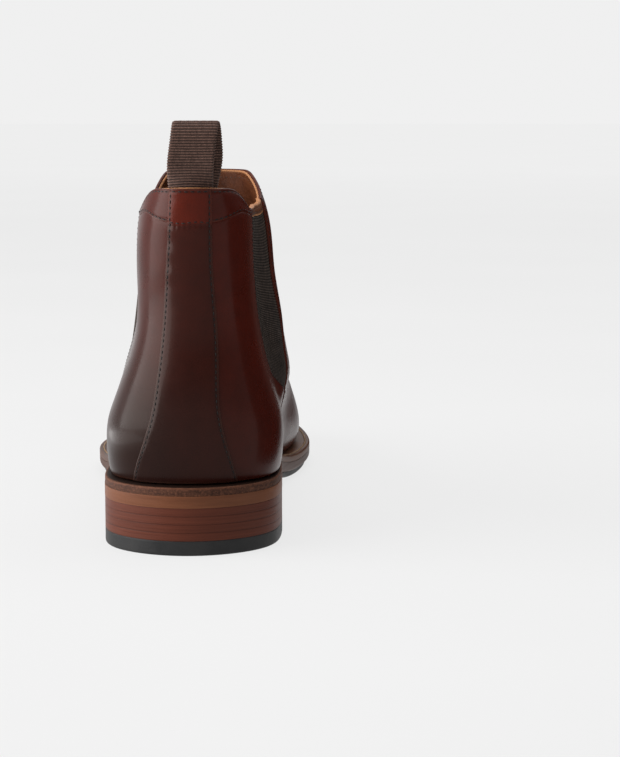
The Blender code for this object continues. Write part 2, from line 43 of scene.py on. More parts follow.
# Heights and curves of the boot, the same as in the model.
HEEL_SEAT, BALL_SEAT = 28.9, 11.9
SHANK_FROM, SHANK_TO = 30.0, 162.0
SPRING_FROM, SPRING_SPAN, SPRING = 176.0, 88.0, 9.6
COLLAR_BACK, COLLAR_GORE, COLLAR_FRONT = 151.6, 142.1, 156.5
HEEL_BREAST_Y = 31.0
LOOP_WIDTH = 19.0
GORE_REAR = ((62.0, 55.0), (45.0, 63.0), (25.0, 79.0), (11.5, 99.5), (6.0, 121.5), (3.5, 142.1))
GORE_FRONT = ((64.2, 55.0), (63.5, 72.0), (59.0, 92.0), (54.5, 116.0), (52.0, 142.1))
SIDE_SEAM = ((75.0, 22.6), (68.5, 38.0), (63.1, 55.0))


# Curves and the foot surface


def spline(points):
    """The natural cubic through (x, y) points, as a function that runs straight beyond its ends."""
    x, y = np.array(points, float).T
    step = np.diff(x)
    system, right = np.eye(len(x)), np.zeros(len(x))
    for i in range(1, len(x) - 1):
        system[i, i - 1 : i + 2] = step[i - 1], 2 * (step[i - 1] + step[i]), step[i]
        right[i] = 6 * ((y[i + 1] - y[i]) / step[i] - (y[i] - y[i - 1]) / step[i - 1])
    bend = np.linalg.solve(system, right)
    first = (y[1] - y[0]) / step[0] - step[0] * bend[1] / 6
    last = (y[-1] - y[-2]) / step[-1] + step[-1] * bend[-2] / 6

    def at(value):
        value = np.asarray(value, float)
        inside = np.clip(value, x[0], x[-1])
        i = np.clip(np.searchsorted(x, inside) - 1, 0, len(x) - 2)
        after, before, h = x[i + 1] - inside, inside - x[i], step[i]
        curve = (bend[i] * after**3 + bend[i + 1] * before**3) / (6 * h)
        curve = curve + (y[i] / h - bend[i] * h / 6) * after + (y[i + 1] / h - bend[i + 1] * h / 6) * before
        return curve + np.minimum(value - x[0], 0) * first + np.maximum(value - x[-1], 0) * last

    return at


def smooth(share):
    """A step from 0 to 1 with no bend at either end."""
    share = np.clip(share, 0, 1)
    return share**3 * (10 + share * (6 * share - 15))


def seat_z(y):
    """Height of the seat: heel, shank, ball and toe spring."""
    y = np.asarray(y, float)
    rise = smooth((SHANK_TO - y) / (SHANK_TO - SHANK_FROM))
    spring = (np.maximum(y - SPRING_FROM, 0) / SPRING_SPAN) ** 2.2
    return BALL_SEAT + (HEEL_SEAT - BALL_SEAT) * rise + SPRING * spring


BACK_LINE = spline(
    [(21, -32.6), (30, -33.6), (41, -35.6), (53, -36.2), (67, -34.6), (83, -31.6), (99, -29.6), (115, -29.2)]
    + [(133, -30.0), (151, -31.2), (176, -32.5)]
)
RIDGE = [(261.8, 21.0), (263.2, 26.5), (261.5, 33.0), (256.0, 39.5), (246, 44.7), (230, 49.1), (208, 53.7)]
RIDGE += [(184, 59.7), (160, 67.0), (138, 75.5), (118, 86.0), (102, 98.5), (91.5, 112.5), (86, 127.5)]
RIDGE += [(83.5, 142.5), (82.5, 157.5), (82.0, 173.5)]
RIDGE_SAMPLES = 3000


def ridge_curve():
    """The middle line from the toe tip over the instep to the front collar, as close-set y and z."""
    points = np.array(RIDGE, float)
    along = np.concatenate([[0], np.cumsum(np.hypot(*np.diff(points, axis=0).T))])
    at = np.linspace(0, along[-1], RIDGE_SAMPLES)
    return spline(np.c_[along, points[:, 0]])(at), spline(np.c_[along, points[:, 1]])(at)


RIDGE_Y, RIDGE_Z = ridge_curve()
TIP = int(np.argmax(RIDGE_Y))
COLLAR_TOP = int(np.argmin(abs(RIDGE_Z - COLLAR_FRONT)))
RIDGE_SHARE = np.concatenate([[0], np.cumsum(np.hypot(np.diff(RIDGE_Y), np.diff(RIDGE_Z))[:COLLAR_TOP])])
RIDGE_SHARE /= RIDGE_SHARE[-1]


def ridge_z(y):
    return np.interp(y, RIDGE_Y[TIP:][::-1], RIDGE_Z[TIP:][::-1])


def ridge_y(z):
    return np.interp(z, RIDGE_Z, RIDGE_Y)


# Distance of the foot's wall from the middle plane by y, and of the leg's rear and front by z.
WALL = {
    1: spline(
        [(-40, 36.5), (-15, 38.6), (5, 39.6), (25, 38.8), (50, 36.2), (75, 34.8), (100, 35.6), (125, 39.0)]
        + [(148, 43.6), (168, 46.9), (186, 47.9), (204, 46.6), (222, 42.4), (241, 34.6), (262, 26.5)]
    ),
    -1: spline(
        [(-40, 35.5), (-15, 37.2), (5, 37.6), (25, 37.4), (50, 38.2), (75, 40.4), (100, 43.6), (125, 47.8)]
        + [(146, 51.8), (165, 54.4), (183, 53.8), (203, 48.4), (224, 37.6), (243, 26.0), (262, 16.5)]
    ),
}
LEG_REAR = {
    1: spline([(31, 38), (46, 38), (57, 33.0), (69, 31.2), (81, 30.2), (93, 29.2), (121, 28.7), (151, 34.0)]),
    -1: spline(
        [(31, 36), (46, 36.2), (57, 31.5), (69, 28.7), (81, 25.9), (93, 24.2), (121, 25.6), (151, 28.0)]
    ),
}
LEG_FRONT = {
    1: spline([(31, 38), (51, 47.2), (71, 41.3), (91, 39.5), (111, 39.1), (131, 40.2), (151, 37.9)]),
    -1: spline([(31, 38), (51, 33.1), (71, 30.9), (91, 29.6), (111, 28.5), (131, 28.1), (151, 27.9)]),
}
LEG_FROM, LEG_SPAN = {1: 32.6, -1: -5.0}, {1: 34.6, -1: 60.0}
HEEL_UNDERCUT, UNDERCUT, ROLL = 0.045, 0.115, 5.5
FOOT_HEIGHT, FOOT_BLEND = {1: 33.0, -1: 30.6}, 16.0
HEEL_ROUND = spline([(31, 33), (61, 31), (101, 30.7), (151, 42.4)])
INSTEP_ROUND = spline([(60, 72), (110, 65.9), (160, 43.0), (210, 44), (262, 36)])
TOE_ROUND, SHIN_ROUND = 15.0, 46.0


def centre_x(y, z):
    """How far the boot's middle swings inwards, up the leg and along the toe."""
    return 1.3 * smooth((z - 31) / 80) + 1.8 * smooth((y + 10) / 90) + 3.2 * smooth((y - 60) / 190)


def half_width(y, z, side):
    above = np.maximum(z - seat_z(y), 0)
    rear, front = LEG_REAR[side](z), LEG_FRONT[side](z)
    leg = rear + (front - rear) * smooth((y - LEG_FROM[side]) / LEG_SPAN[side])
    foot = 0.5 * (1 - np.tanh((above - FOOT_HEIGHT[side]) / FOOT_BLEND))
    width = leg + (WALL[side](y) - leg) * foot - side * centre_x(y, z)
    undercut = HEEL_UNDERCUT + (UNDERCUT - HEEL_UNDERCUT) * smooth((y - 30) / 70)
    width = width * (1 - undercut * np.exp(-above / ROLL))
    heel = np.tanh(2 * np.maximum(y - BACK_LINE(z), 0) / HEEL_ROUND(z))
    down = np.maximum(ridge_z(y) - z, 0) / INSTEP_ROUND(y)
    shin = smooth((z - 41) / 60)
    across = np.maximum(ridge_y(z) - y, 0) / (TOE_ROUND + (SHIN_ROUND - TOE_ROUND) * shin)
    both = down * across / np.maximum(np.hypot(down, across), 1e-9)
    return width * np.sqrt(heel * np.tanh(2 * both))


def collar_z(y):
    back, front = smooth((2.0 - y) / 26.0), smooth((y - 42.0) / 34.0)
    return COLLAR_GORE + (COLLAR_BACK - COLLAR_GORE) * back + (COLLAR_FRONT - COLLAR_GORE) * front


SEAT_BACK_Z = float(seat_z(-33.0))
SEAT_BACK_Y = float(BACK_LINE(SEAT_BACK_Z))
TOE_Y, TOE_Z = float(RIDGE_Y[0]), float(seat_z(RIDGE_Y[0]))
COLLAR_BACK_Y = float(BACK_LINE(COLLAR_BACK))
COLLAR_FRONT_Y = float(RIDGE_Y[COLLAR_TOP])


def coons(u, v, back, front, low, high, corners):
    ruled = (1 - u) * back + u * front + (1 - v) * low + v * high
    a, b, c, d = corners
    return ruled - ((1 - u) * (1 - v) * a + u * (1 - v) * b + (1 - u) * v * c + u * v * d)


def side_point(u, v):
    """Side view (y, z) at a share u from back to front and v from seat to collar: a Coons patch."""
    back_z = SEAT_BACK_Z + (COLLAR_BACK - SEAT_BACK_Z) * v
    seat_y = SEAT_BACK_Y + (TOE_Y - SEAT_BACK_Y) * u
    collar_y = COLLAR_BACK_Y + (COLLAR_FRONT_Y - COLLAR_BACK_Y) * u
    front_y = np.interp(v, RIDGE_SHARE, RIDGE_Y[: COLLAR_TOP + 1])
    front_z = np.interp(v, RIDGE_SHARE, RIDGE_Z[: COLLAR_TOP + 1])
    corners_y = (SEAT_BACK_Y, TOE_Y, COLLAR_BACK_Y, COLLAR_FRONT_Y)
    corners_z = (SEAT_BACK_Z, TOE_Z, COLLAR_BACK, COLLAR_FRONT)
    y = coons(u, v, BACK_LINE(back_z), front_y, seat_y, collar_y, corners_y)
    z = coons(u, v, back_z, front_z, seat_z(seat_y), collar_z(collar_y), corners_z)
    return y, z


def surface(t, v):
    """Points of the upper's outer face. A turn past 1 comes back on the outer side."""
    t, v = np.broadcast_arrays(np.asarray(t, float), np.asarray(v, float))
    t = np.mod(t + 1, 2) - 1
    y, z = side_point((1 - np.cos(math.pi * np.abs(t))) / 2, v)
    x = np.where(t >= 0, half_width(y, z, 1), -half_width(y, z, -1)) + centre_x(y, z)
    return np.stack([x, y, z], -1)


def normals(t, v):
    step = 1e-3
    along = surface(t + step, v) - surface(t - step, v)
    inside = np.clip(v, step, 1 - step)
    up = surface(t, inside + step) - surface(t, inside - step)
    normal = np.cross(along, up)
    return normal / np.linalg.norm(normal, axis=-1, keepdims=True)


def layer(t, v, depth):
    """Points of the upper at a depth under its outer face."""
    t, v, depth = np.broadcast_arrays(np.asarray(t, float), np.asarray(v, float), np.asarray(depth, float))
    return surface(t, v) - normals(t, v) * depth[..., None]


def turn_and_height(y, z):
    """The (t, v) of a place in side view, by Newton's method."""
    u, v, step = 0.35, 0.5, 1e-4
    for _ in range(30):
        at = np.array(side_point(u, v))
        du = (np.array(side_point(u + step, v)) - at) / step
        dv = (np.array(side_point(u, v + step)) - at) / step
        change = np.linalg.solve(np.c_[du, dv], np.array([y, z]) - at)
        u, v = np.clip(u + change[0], 0.001, 0.999), np.clip(v + change[1], 0, 0.999)
    return math.acos(1 - 2 * u) / math.pi, v


def edge(points):
    """A panel edge given in side view, as the turn t at each height v."""
    return spline(sorted((v, t) for t, v in (turn_and_height(y, z) for y, z in points)))


REAR, FRONT, SEAM = edge(GORE_REAR), edge(GORE_FRONT), edge(SIDE_SEAM)
TIP_V = turn_and_height(*SIDE_SEAM[-1])[1]


def outline(t, out):
    """The featherline in plan, moved out by a distance, with its height on the seat."""
    t, out = np.broadcast_arrays(np.asarray(t, float), np.asarray(out, float))
    step = 1e-3
    at, along = surface(t, 0 * t), surface(t + step, 0 * t) - surface(t - step, 0 * t)
    size = np.hypot(along[..., 0], along[..., 1])
    x, y = at[..., 0] + along[..., 1] / size * out, at[..., 1] - along[..., 0] / size * out
    return np.stack([x, y, seat_z(y)], -1)


SOLE_OUT = spline(
    [(-1, 6.5), (-0.9, 6.9), (-0.78, 9.2), (-0.66, 10.8), (-0.5, 6.8), (-0.4, 4.2), (-0.3, 2.6), (-0.2, 3.0)]
    + [(-0.1, 6.0), (0, 7.4), (0.1, 5.5), (0.2, 1.8), (0.3, 1.3), (0.4, 3.0), (0.5, 5.4), (0.66, 8.4)]
    + [(0.78, 7.6), (0.9, 6.7), (1, 6.5)]
)


def sole_out(t):
    """How far the sole stands out from the featherline."""
    return SOLE_OUT(np.mod(np.asarray(t, float) + 1, 2) - 1)


def turn_at_y(y):
    return math.acos(1 - 2 * (y - SEAT_BACK_Y) / (TOE_Y - SEAT_BACK_Y)) / math.pi


BREAST_TURN = turn_at_y(HEEL_BREAST_Y)


# Node materials


class Nodes:
    """A short way to write a material's node tree."""

    def __init__(self, name):
        self.material = bpy.data.materials.new(name)
        self.material.use_nodes = True
        self.tree = self.material.node_tree
        self.shader = self.tree.nodes["Principled BSDF"]
        self.place = self.add("ShaderNodeTexCoord").outputs["Object"]

    def add(self, kind, **settings):
        node = self.tree.nodes.new(kind)
        for key, value in settings.items():
            setattr(node, key, value)
        return node

    def link(self, source, socket):
        if hasattr(source, "links"):
            self.tree.links.new(source, socket)
        else:
            socket.default_value = source

    def math(self, operation, *values):
        node = self.add("ShaderNodeMath", operation=operation)
        for value, socket in zip(values, node.inputs):
            self.link(value, socket)
        return node.outputs[0]

    def scaled(self, x, y, z):
        """Object coordinates with a scale for each axis, in cells for each metre."""
        node = self.add("ShaderNodeMapping")
        self.link(self.place, node.inputs["Vector"])
        node.inputs["Scale"].default_value = (x, y, z)
        return node.outputs[0]

    def noise(self, scale, detail=3.0, rough=0.5, where=None, distortion=0.0):
        node = self.add("ShaderNodeTexNoise")
        self.link(where or self.place, node.inputs["Vector"])
        node.inputs["Scale"].default_value = scale
        node.inputs["Detail"].default_value = detail
        node.inputs["Roughness"].default_value = rough
        node.inputs["Distortion"].default_value = distortion
        return node.outputs["Fac"]

    def cells(self, scale, feature="F1", where=None):
        node = self.add("ShaderNodeTexVoronoi", feature=feature)
        self.link(where or self.place, node.inputs["Vector"])
        node.inputs["Scale"].default_value = scale
        return node.outputs["Distance"]

    def ramp(self, factor, *stops):
        """Colours or values at places from 0 to 1."""
        node = self.add("ShaderNodeValToRGB")
        self.link(factor, node.inputs["Fac"])
        line = node.color_ramp
        while len(line.elements) < len(stops):
            line.elements.new(0.5)
        for element, (at, value) in zip(line.elements, stops):
            element.position = at
            element.color = (*value, 1) if hasattr(value, "__len__") else (value, value, value, 1)
        return node.outputs["Color"]

    def mix(self, factor, a, b):
        node = self.add("ShaderNodeMix", data_type="RGBA")
        self.link(factor, node.inputs["Factor"])
        for value, socket in ((a, node.inputs["A"]), (b, node.inputs["B"])):
            self.link((*value, 1) if isinstance(value, tuple) else value, socket)
        return node.outputs["Result"]

    def attribute(self, name):
        return self.add("ShaderNodeAttribute", attribute_name=name).outputs["Fac"]

    def axis(self, name, low, high):
        """Share from 0 to 1 along one axis of the boot, between two places in metres."""
        split = self.add("ShaderNodeSeparateXYZ")
        self.link(self.place, split.inputs[0])
        node = self.add("ShaderNodeMapRange")
        self.link(split.outputs[name], node.inputs["Value"])
        node.inputs["From Min"].default_value = low
        node.inputs["From Max"].default_value = high
        return node.outputs["Result"]

    def bump(self, height, distance, strength=1.0, below=None):
        node = self.add("ShaderNodeBump")
        self.link(height, node.inputs["Height"])
        node.inputs["Distance"].default_value = distance
        node.inputs["Strength"].default_value = strength
        if below is not None:
            self.link(below, node.inputs["Normal"])
        return node.outputs["Normal"]

    def finish(self, colour, roughness, normal=None, **sockets):
        self.link(colour, self.shader.inputs["Base Color"])
        self.link(roughness, self.shader.inputs["Roughness"])
        if normal is not None:
            self.link(normal, self.shader.inputs["Normal"])
        for name, value in sockets.items():
            self.shader.inputs[name.replace("_", " ")].default_value = value
        return self.material


def upper_leather(name, dark, red, red_from, red_to, rim_highlight_share, edge):
    """Polished calf: darker towards the bottom, painted light and shade by side and on the strip's top, a
    painted highlight on rolled edges, painted shade in stitch lines, fine pores, soft wrinkles and a wax
    finish.
    """
    n = Nodes(name)
    cloud = n.noise(22.0, 4.0, 0.55)
    fine = n.noise(160.0, 5.0, 0.6)
    # Darker towards the bottom, redder up the leg. The shift with X is painted light and shade: the outer
    # side is painted browner and the inner side redder.
    height = n.math("MULTIPLY", n.axis("Z", red_from, red_to), 0.75)
    share = n.math("ADD", height, n.math("MULTIPLY", n.axis("X", -0.025, 0.03), 0.62))
    share = n.math("ADD", share, n.math("MULTIPLY", n.math("SUBTRACT", cloud, 0.5), 0.6))
    colour = n.mix(n.ramp(share, (0.10, 0.0), (0.95, 1.0)), dark, red)
    # Painted light: where the top mask is set (the back strip above the crease) the colour is a brighter red,
    # standing in for light falling there.
    colour = n.mix(n.attribute("top"), colour, (0.076, 0.0072, 0.0024))
    colour = n.mix(n.ramp(fine, (0.35, 0.25), (0.75, 0.0)), colour, tuple(c * 0.45 for c in dark))
    # Painted highlight: the rolled edges, patchy with the fine noise, are mixed towards the edge colour,
    # standing in for light caught by the edges.
    rim = n.math("MULTIPLY", n.attribute("rim"), n.ramp(fine, (0.3, 0.4), (0.7, 1.0)))
    colour = n.mix(n.math("MULTIPLY", rim, rim_highlight_share), colour, edge)
    # Painted shade: the pressed stitch lines are darkened almost to black.
    colour = n.mix(n.math("MULTIPLY", n.attribute("seam_and_shade"), 0.8), colour, (0.004, 0.002, 0.0015))
    pores = n.cells(1500.0)
    grain = n.noise(700.0, 4.0, 0.6)
    normal = n.bump(n.ramp(pores, (0.0, 0.0), (0.35, 1.0)), 0.00003, 0.25)
    normal = n.bump(grain, 0.00005, 0.25, normal)
    normal = n.bump(cloud, 0.0014, 0.16, normal)
    rough = n.ramp(n.noise(60.0, 4.0, 0.6), (0.3, 0.24), (0.7, 0.33))
    n.shader.inputs["Specular Tint"].default_value = (1.0, 0.84, 0.76, 1)
    return n.finish(colour, rough, normal, Coat_Weight=0.05, Coat_Roughness=0.08, Specular_IOR_Level=0.11)


def lining_leather():
    """Tan lining: soft sheen, darker where it is handled, with an open grain."""
    n = Nodes("lining_leather_look")
    cloud = n.noise(45.0, 5.0, 0.65)
    stops = (0.3, (0.040, 0.011, 0.0045)), (0.5, (0.085, 0.025, 0.009)), (0.72, (0.14, 0.047, 0.017))
    colour = n.ramp(cloud, *stops)
    # Painted highlight: the rounded edges of the lining and the gore binding turn bright tan.
    colour = n.mix(n.attribute("rim"), colour, (0.42, 0.19, 0.085))
    # Painted shade along the gore binding's stitch line.
    colour = n.mix(n.math("MULTIPLY", n.attribute("seam_and_shade"), 0.8), colour, (0.03, 0.010, 0.005))
    creases = n.cells(140.0, "DISTANCE_TO_EDGE")
    normal = n.bump(n.ramp(creases, (0.0, 0.0), (0.10, 1.0)), 0.0002, 0.35)
    normal = n.bump(n.cells(900.0), 0.00008, 0.5, normal)
    normal = n.bump(n.noise(300.0, 5.0, 0.65), 0.00014, 0.6, normal)
    rough = n.ramp(n.noise(90.0), (0.3, 0.42), (0.7, 0.6))
    return n.finish(colour, rough, normal, Specular_IOR_Level=0.12)


def elastic():
    """Rubber-cored elastic: fine warp threads across the ribs."""
    n = Nodes("elastic_look")
    threads = n.noise(1.0, 2.0, 0.5, n.scaled(900.0, 900.0, 260.0))
    patch = n.noise(60.0, 3.0)
    colour = n.ramp(threads, (0.3, (0.020, 0.0138, 0.0110)), (0.7, (0.058, 0.0410, 0.0330)))
    # Painted shade: the grooves between the ribs are darkened.
    colour = n.mix(n.math("MULTIPLY", n.attribute("groove"), 0.8), colour, (0.004, 0.003, 0.0025))
    colour = n.mix(n.ramp(patch, (0.4, 0.0), (0.8, 0.3)), colour, (0.036, 0.024, 0.017))
    normal = n.bump(threads, 0.00012, 0.7)
    return n.finish(colour, 0.85, normal, Specular_IOR_Level=0.08, Sheen_Weight=0.02, Sheen_Roughness=0.5)


def webbing():
    """Ribbed webbing: raised weft ribs with painted shade in the grooves between them, and fine yarns."""
    n = Nodes("webbing_look")
    yarn = n.noise(1.0, 3.0, 0.6, n.scaled(1500.0, 420.0, 420.0))
    colour = n.ramp(yarn, (0.25, (0.055, 0.028, 0.020)), (0.75, (0.150, 0.082, 0.062)))
    # Painted shade: the grooves between the ribs are darkened.
    colour = n.mix(n.math("MULTIPLY", n.attribute("groove"), 0.95), colour, (0.013, 0.006, 0.0045))
    normal = n.bump(yarn, 0.00015, 0.8)
    return n.finish(colour, 0.8, normal, Specular_IOR_Level=0.2, Sheen_Weight=0.08, Sheen_Roughness=0.5)


def thread(name, colour, light):
    """Waxed twisted thread."""
    n = Nodes(name)
    twist = n.noise(1.0, 2.0, 0.5, n.scaled(2600.0, 2600.0, 1500.0))
    return n.finish(
        n.ramp(twist, (0.3, colour), (0.7, light)), 0.55, n.bump(twist, 0.00008, 0.7), Specular_IOR_Level=0.25
    )


def edge_leather(name, dark, light, layers, speckle=0.0, front=None):
    """The side of cut sole leather: thin fibre layers that lie flat, stained and waxed."""
    n = Nodes(name)
    lines = n.noise(1.0, 5.0, 0.6, n.scaled(45.0, 45.0, layers))
    broad = n.noise(1.0, 3.0, 0.5, n.scaled(14.0, 14.0, layers * 0.16))
    share = n.math("ADD", n.math("MULTIPLY", lines, 0.6), n.math("MULTIPLY", broad, 0.4))
    colour = n.mix(n.ramp(share, (0.36, 0.0), (0.64, 1.0)), dark, light)
    if front:
        colour = n.mix(n.ramp(n.axis("Y", 0.02, 0.06), (0.0, 0.0), (1.0, 1.0)), colour, front)
    # Painted highlight: the rounded rim (the rand's lip) is lightened.
    colour = n.mix(n.math("MULTIPLY", n.attribute("rim"), 0.8), colour, tuple(min(1, c * 1.6) for c in light))
    colour = n.mix(n.ramp(n.noise(18.0, 3.0), (0.5, 0.0), (0.85, 0.35)), colour, tuple(c * 0.5 for c in dark))
    if speckle:
        spots = n.ramp(n.noise(1100.0, 3.0, 0.7), (0.50, 0.0), (0.62, 1.0))
        colour = n.mix(n.math("MULTIPLY", spots, speckle), colour, tuple(min(1, c * 2.2) for c in light))
        holes = n.ramp(n.noise(800.0, 3.0, 0.7), (0.36, 1.0), (0.47, 0.0))
        colour = n.mix(n.math("MULTIPLY", holes, speckle), colour, tuple(c * 0.25 for c in dark))
    # Darker where the mask is set: dark joint lines between the heel lifts, and painted shade in the welt's
    # stitch groove and on the rand's ledge under the upper.
    colour = n.mix(n.attribute("seam_and_shade"), colour, tuple(c * 0.2 for c in dark))
    normal = n.bump(lines, 0.00014, 0.55)
    normal = n.bump(n.noise(500.0, 4.0, 0.7), 0.0001, 0.35 + 0.5 * speckle, normal)
    rough = n.ramp(share, (0.3, 0.36 + 0.3 * speckle), (0.7, 0.5 + 0.3 * speckle))
    return n.finish(colour, rough, normal, Specular_IOR_Level=0.12)


def rubber():
    """Black rubber, slightly dusty, with a moulded grain."""
    n = Nodes("rubber_look")
    dust = n.noise(50.0, 5.0, 0.65)
    colour = n.ramp(dust, (0.35, (0.0085, 0.0085, 0.009)), (0.75, (0.022, 0.0215, 0.021)))
    normal = n.bump(n.noise(900.0, 3.0), 0.0001, 0.5)
    return n.finish(colour, n.ramp(dust, (0.3, 0.42), (0.7, 0.6)), normal, Specular_IOR_Level=0.25)


def board():
    """Leatherboard: pressed brown fibre."""
    n = Nodes("board_look")
    fibre = n.noise(260.0, 6.0, 0.75, None, 0.6)
    colour = n.ramp(fibre, (0.3, (0.26, 0.18, 0.11)), (0.7, (0.47, 0.36, 0.25)))
    return n.finish(colour, 0.85, n.bump(fibre, 0.0002, 0.7))


def cork():
    """Granulated cork: light grains in a darker binder."""
    n = Nodes("cork_look")
    grains = n.cells(420.0)
    tint = n.noise(220.0, 3.0)
    colour = n.ramp(tint, (0.3, (0.30, 0.17, 0.085)), (0.7, (0.50, 0.33, 0.19)))
    colour = n.mix(n.ramp(grains, (0.35, 0.0), (0.75, 0.7)), colour, (0.12, 0.06, 0.03))
    return n.finish(colour, 0.9, n.bump(grains, 0.0005, 0.6))


def metal(name, colour, dark, rough):
    """Drawn metal with fine scratches and a little tarnish."""
    n = Nodes(name)
    drawn = n.noise(1.0, 4.0, 0.6, n.scaled(2500.0, 120.0, 2500.0))
    tarnish = n.noise(150.0, 4.0, 0.6)
    shade = n.mix(n.ramp(tarnish, (0.45, 0.0), (0.8, 0.7)), colour, dark)
    scratched = n.ramp(drawn, (0.3, rough * 0.7), (0.7, rough * 1.4))
    return n.finish(shade, scratched, n.bump(drawn, 0.00004, 0.4), Metallic=1.0)


# Mesh pieces


def mesh_object(name, points, faces, material, attributes=None, smooth_angle=None):
    """A mesh from points in millimetres, in the boot's frame."""
    mesh = bpy.data.meshes.new(name)
    mesh.from_pydata((np.asarray(points).reshape(-1, 3) * MM).tolist(), [], faces)
    for key, values in (attributes or {}).items():
        layer_data = mesh.attributes.new(key, "FLOAT", "POINT")
        layer_data.data.foreach_set("value", np.asarray(values, np.float32).ravel())
    tidy = bmesh.new()
    tidy.from_mesh(mesh)
    bmesh.ops.remove_doubles(tidy, verts=tidy.verts, dist=0.002 * MM)
    bmesh.ops.dissolve_degenerate(tidy, edges=tidy.edges, dist=0.001 * MM)
    bmesh.ops.recalc_face_normals(tidy, faces=tidy.faces)
    tidy.to_mesh(mesh)
    tidy.free()
    mesh.shade_smooth()
    if smooth_angle:
        mesh.set_sharp_from_angle(angle=math.radians(smooth_angle))
    mesh.materials.append(material)
    obj = bpy.data.objects.new(name, mesh)
    bpy.context.scene.collection.objects.link(obj)
    return obj


def grid_faces(rows, cols, first=0, flip=False):
    r, c = np.meshgrid(np.arange(rows - 1), np.arange(cols - 1), indexing="ij")
    a = (first + r * cols + c).ravel()
    quads = np.stack([a, a + 1, a + 1 + cols, a + cols], -1)
    return (quads[:, ::-1] if flip else quads).tolist()


def rim_order(rows, cols):
    """Indices round the border of a grid, in order."""
    low = list(range(cols))
    right = [r * cols + cols - 1 for r in range(1, rows)]
    high = [(rows - 1) * cols + c for c in range(cols - 2, -1, -1)]
    left = [r * cols for r in range(rows - 2, 0, -1)]
    return low + right + high + left


def two_faced(name, outer, inner, material, attributes):
    """A closed sheet between two grids of the same size."""
    rows, cols = outer.shape[:2]
    count = rows * cols
    faces = grid_faces(rows, cols) + grid_faces(rows, cols, count, True)
    border = rim_order(rows, cols)
    for a, b in zip(border, border[1:] + border[:1]):
        faces.append((b, a, count + a, count + b))
    points = np.concatenate([outer.reshape(-1, 3), inner.reshape(-1, 3)])
    doubled = {key: np.concatenate([np.ravel(v), np.ravel(v)]) for key, v in attributes.items()}
    return mesh_object(name, points, faces, material, doubled)


EDGE_STEPS = np.array([0.0, 0.04, 0.15, 0.35, 0.62, 1.0, 1.5, 2.0, 2.6, 3.3])


def shares(length, count, steps):
    """Places from 0 to 1 along a line of that length, with set distances from each end first."""
    middle = np.linspace(steps[-1], length - steps[-1], count)[1:-1]
    return np.concatenate([steps, middle, length - steps[::-1]]) / length


def round_over(distance, radius):
    """Depth of a rounded edge at a distance from it."""
    near = np.clip(1 - distance / radius, 0, 1)
    return radius * (1 - np.sqrt(1 - near**2))


def leather_panel(
    name, left, right, low, high, spacing, material, depth=None, thickness=1.3,
    rounded=("left", "right", "low", "high"), radius=0.65, seams=(), top=None,
):
    """A leather patch between edges t(v) and heights v(share), with rounded edges and pressed stitch lines.

    seams holds (side, distance) pairs: a line pressed in along that side of the patch, at that distance.
    """
    middle = np.array([0.5])
    high_v, low_v = float(high(middle)[0]), float(low(middle)[0])
    trial_v = np.linspace(low_v, high_v, 80)
    across = surface(0.5 * (left(trial_v) + right(trial_v)), trial_v)
    height = float(np.linalg.norm(np.diff(across, axis=0), axis=1).sum())
    row_share = shares(height, max(4, int(height / spacing)), EDGE_STEPS)
    widths = []
    for share in row_share:
        line = np.linspace(0, 1, 60)
        v = low(line) + (high(line) - low(line)) * share
        t = left(v) + (right(v) - left(v)) * line
        widths.append(np.linalg.norm(np.diff(surface(t, v), axis=0), axis=1).sum())
    widths = np.maximum(np.array(widths), 2 * EDGE_STEPS[-1] + 0.6)
    count = max(4, int(widths.max() / spacing))
    col_share = np.array([shares(w, count, EDGE_STEPS) for w in widths])
    v = low(col_share) + (high(col_share) - low(col_share)) * row_share[:, None]
    t = left(v) + (right(v) - left(v)) * col_share
    far = {
        "left": col_share * widths[:, None],
        "right": (1 - col_share) * widths[:, None],
        "low": np.broadcast_to(row_share[:, None] * height, t.shape),
        "high": np.broadcast_to((1 - row_share[:, None]) * height, t.shape),
    }
    sunk = np.zeros_like(t) if depth is None else depth(t, v, far)
    drop = np.zeros_like(t)
    # The rim mask marks the rounded edges, for a painted highlight on them.
    rim = np.zeros_like(t)
    for side in rounded:
        drop = np.maximum(drop, round_over(far[side], radius))
        rim = np.maximum(rim, np.exp(-((far[side] - 0.25) / 0.45) ** 2))
    # The stitch-line mask darkens the material there: painted shade in the pressed lines.
    pressed, seam_and_shade = np.zeros_like(t), np.zeros_like(t)
    for side, distance in seams:
        pressed += 0.16 * np.exp(-(((far[side] - distance) / 0.55) ** 2))
        seam_and_shade = np.maximum(seam_and_shade, np.exp(-(((far[side] - distance) / 0.45) ** 2)) * 0.6)
    outer = layer(t, v, sunk + np.minimum(drop, thickness * 0.8) + pressed)
    inner = layer(t, v, sunk + thickness)
    values = {"rim": rim, "seam_and_shade": seam_and_shade}
    # top, when given, is the mask of painted light for the material.
    if top:
        values["top"] = top(t, v)
    return two_faced(name, outer, inner, material, values)


def constant(value):
    return lambda share: np.full_like(np.asarray(share, float), value)


# Stitches


STITCH_RING, STITCH_SECTIONS = 6, 7


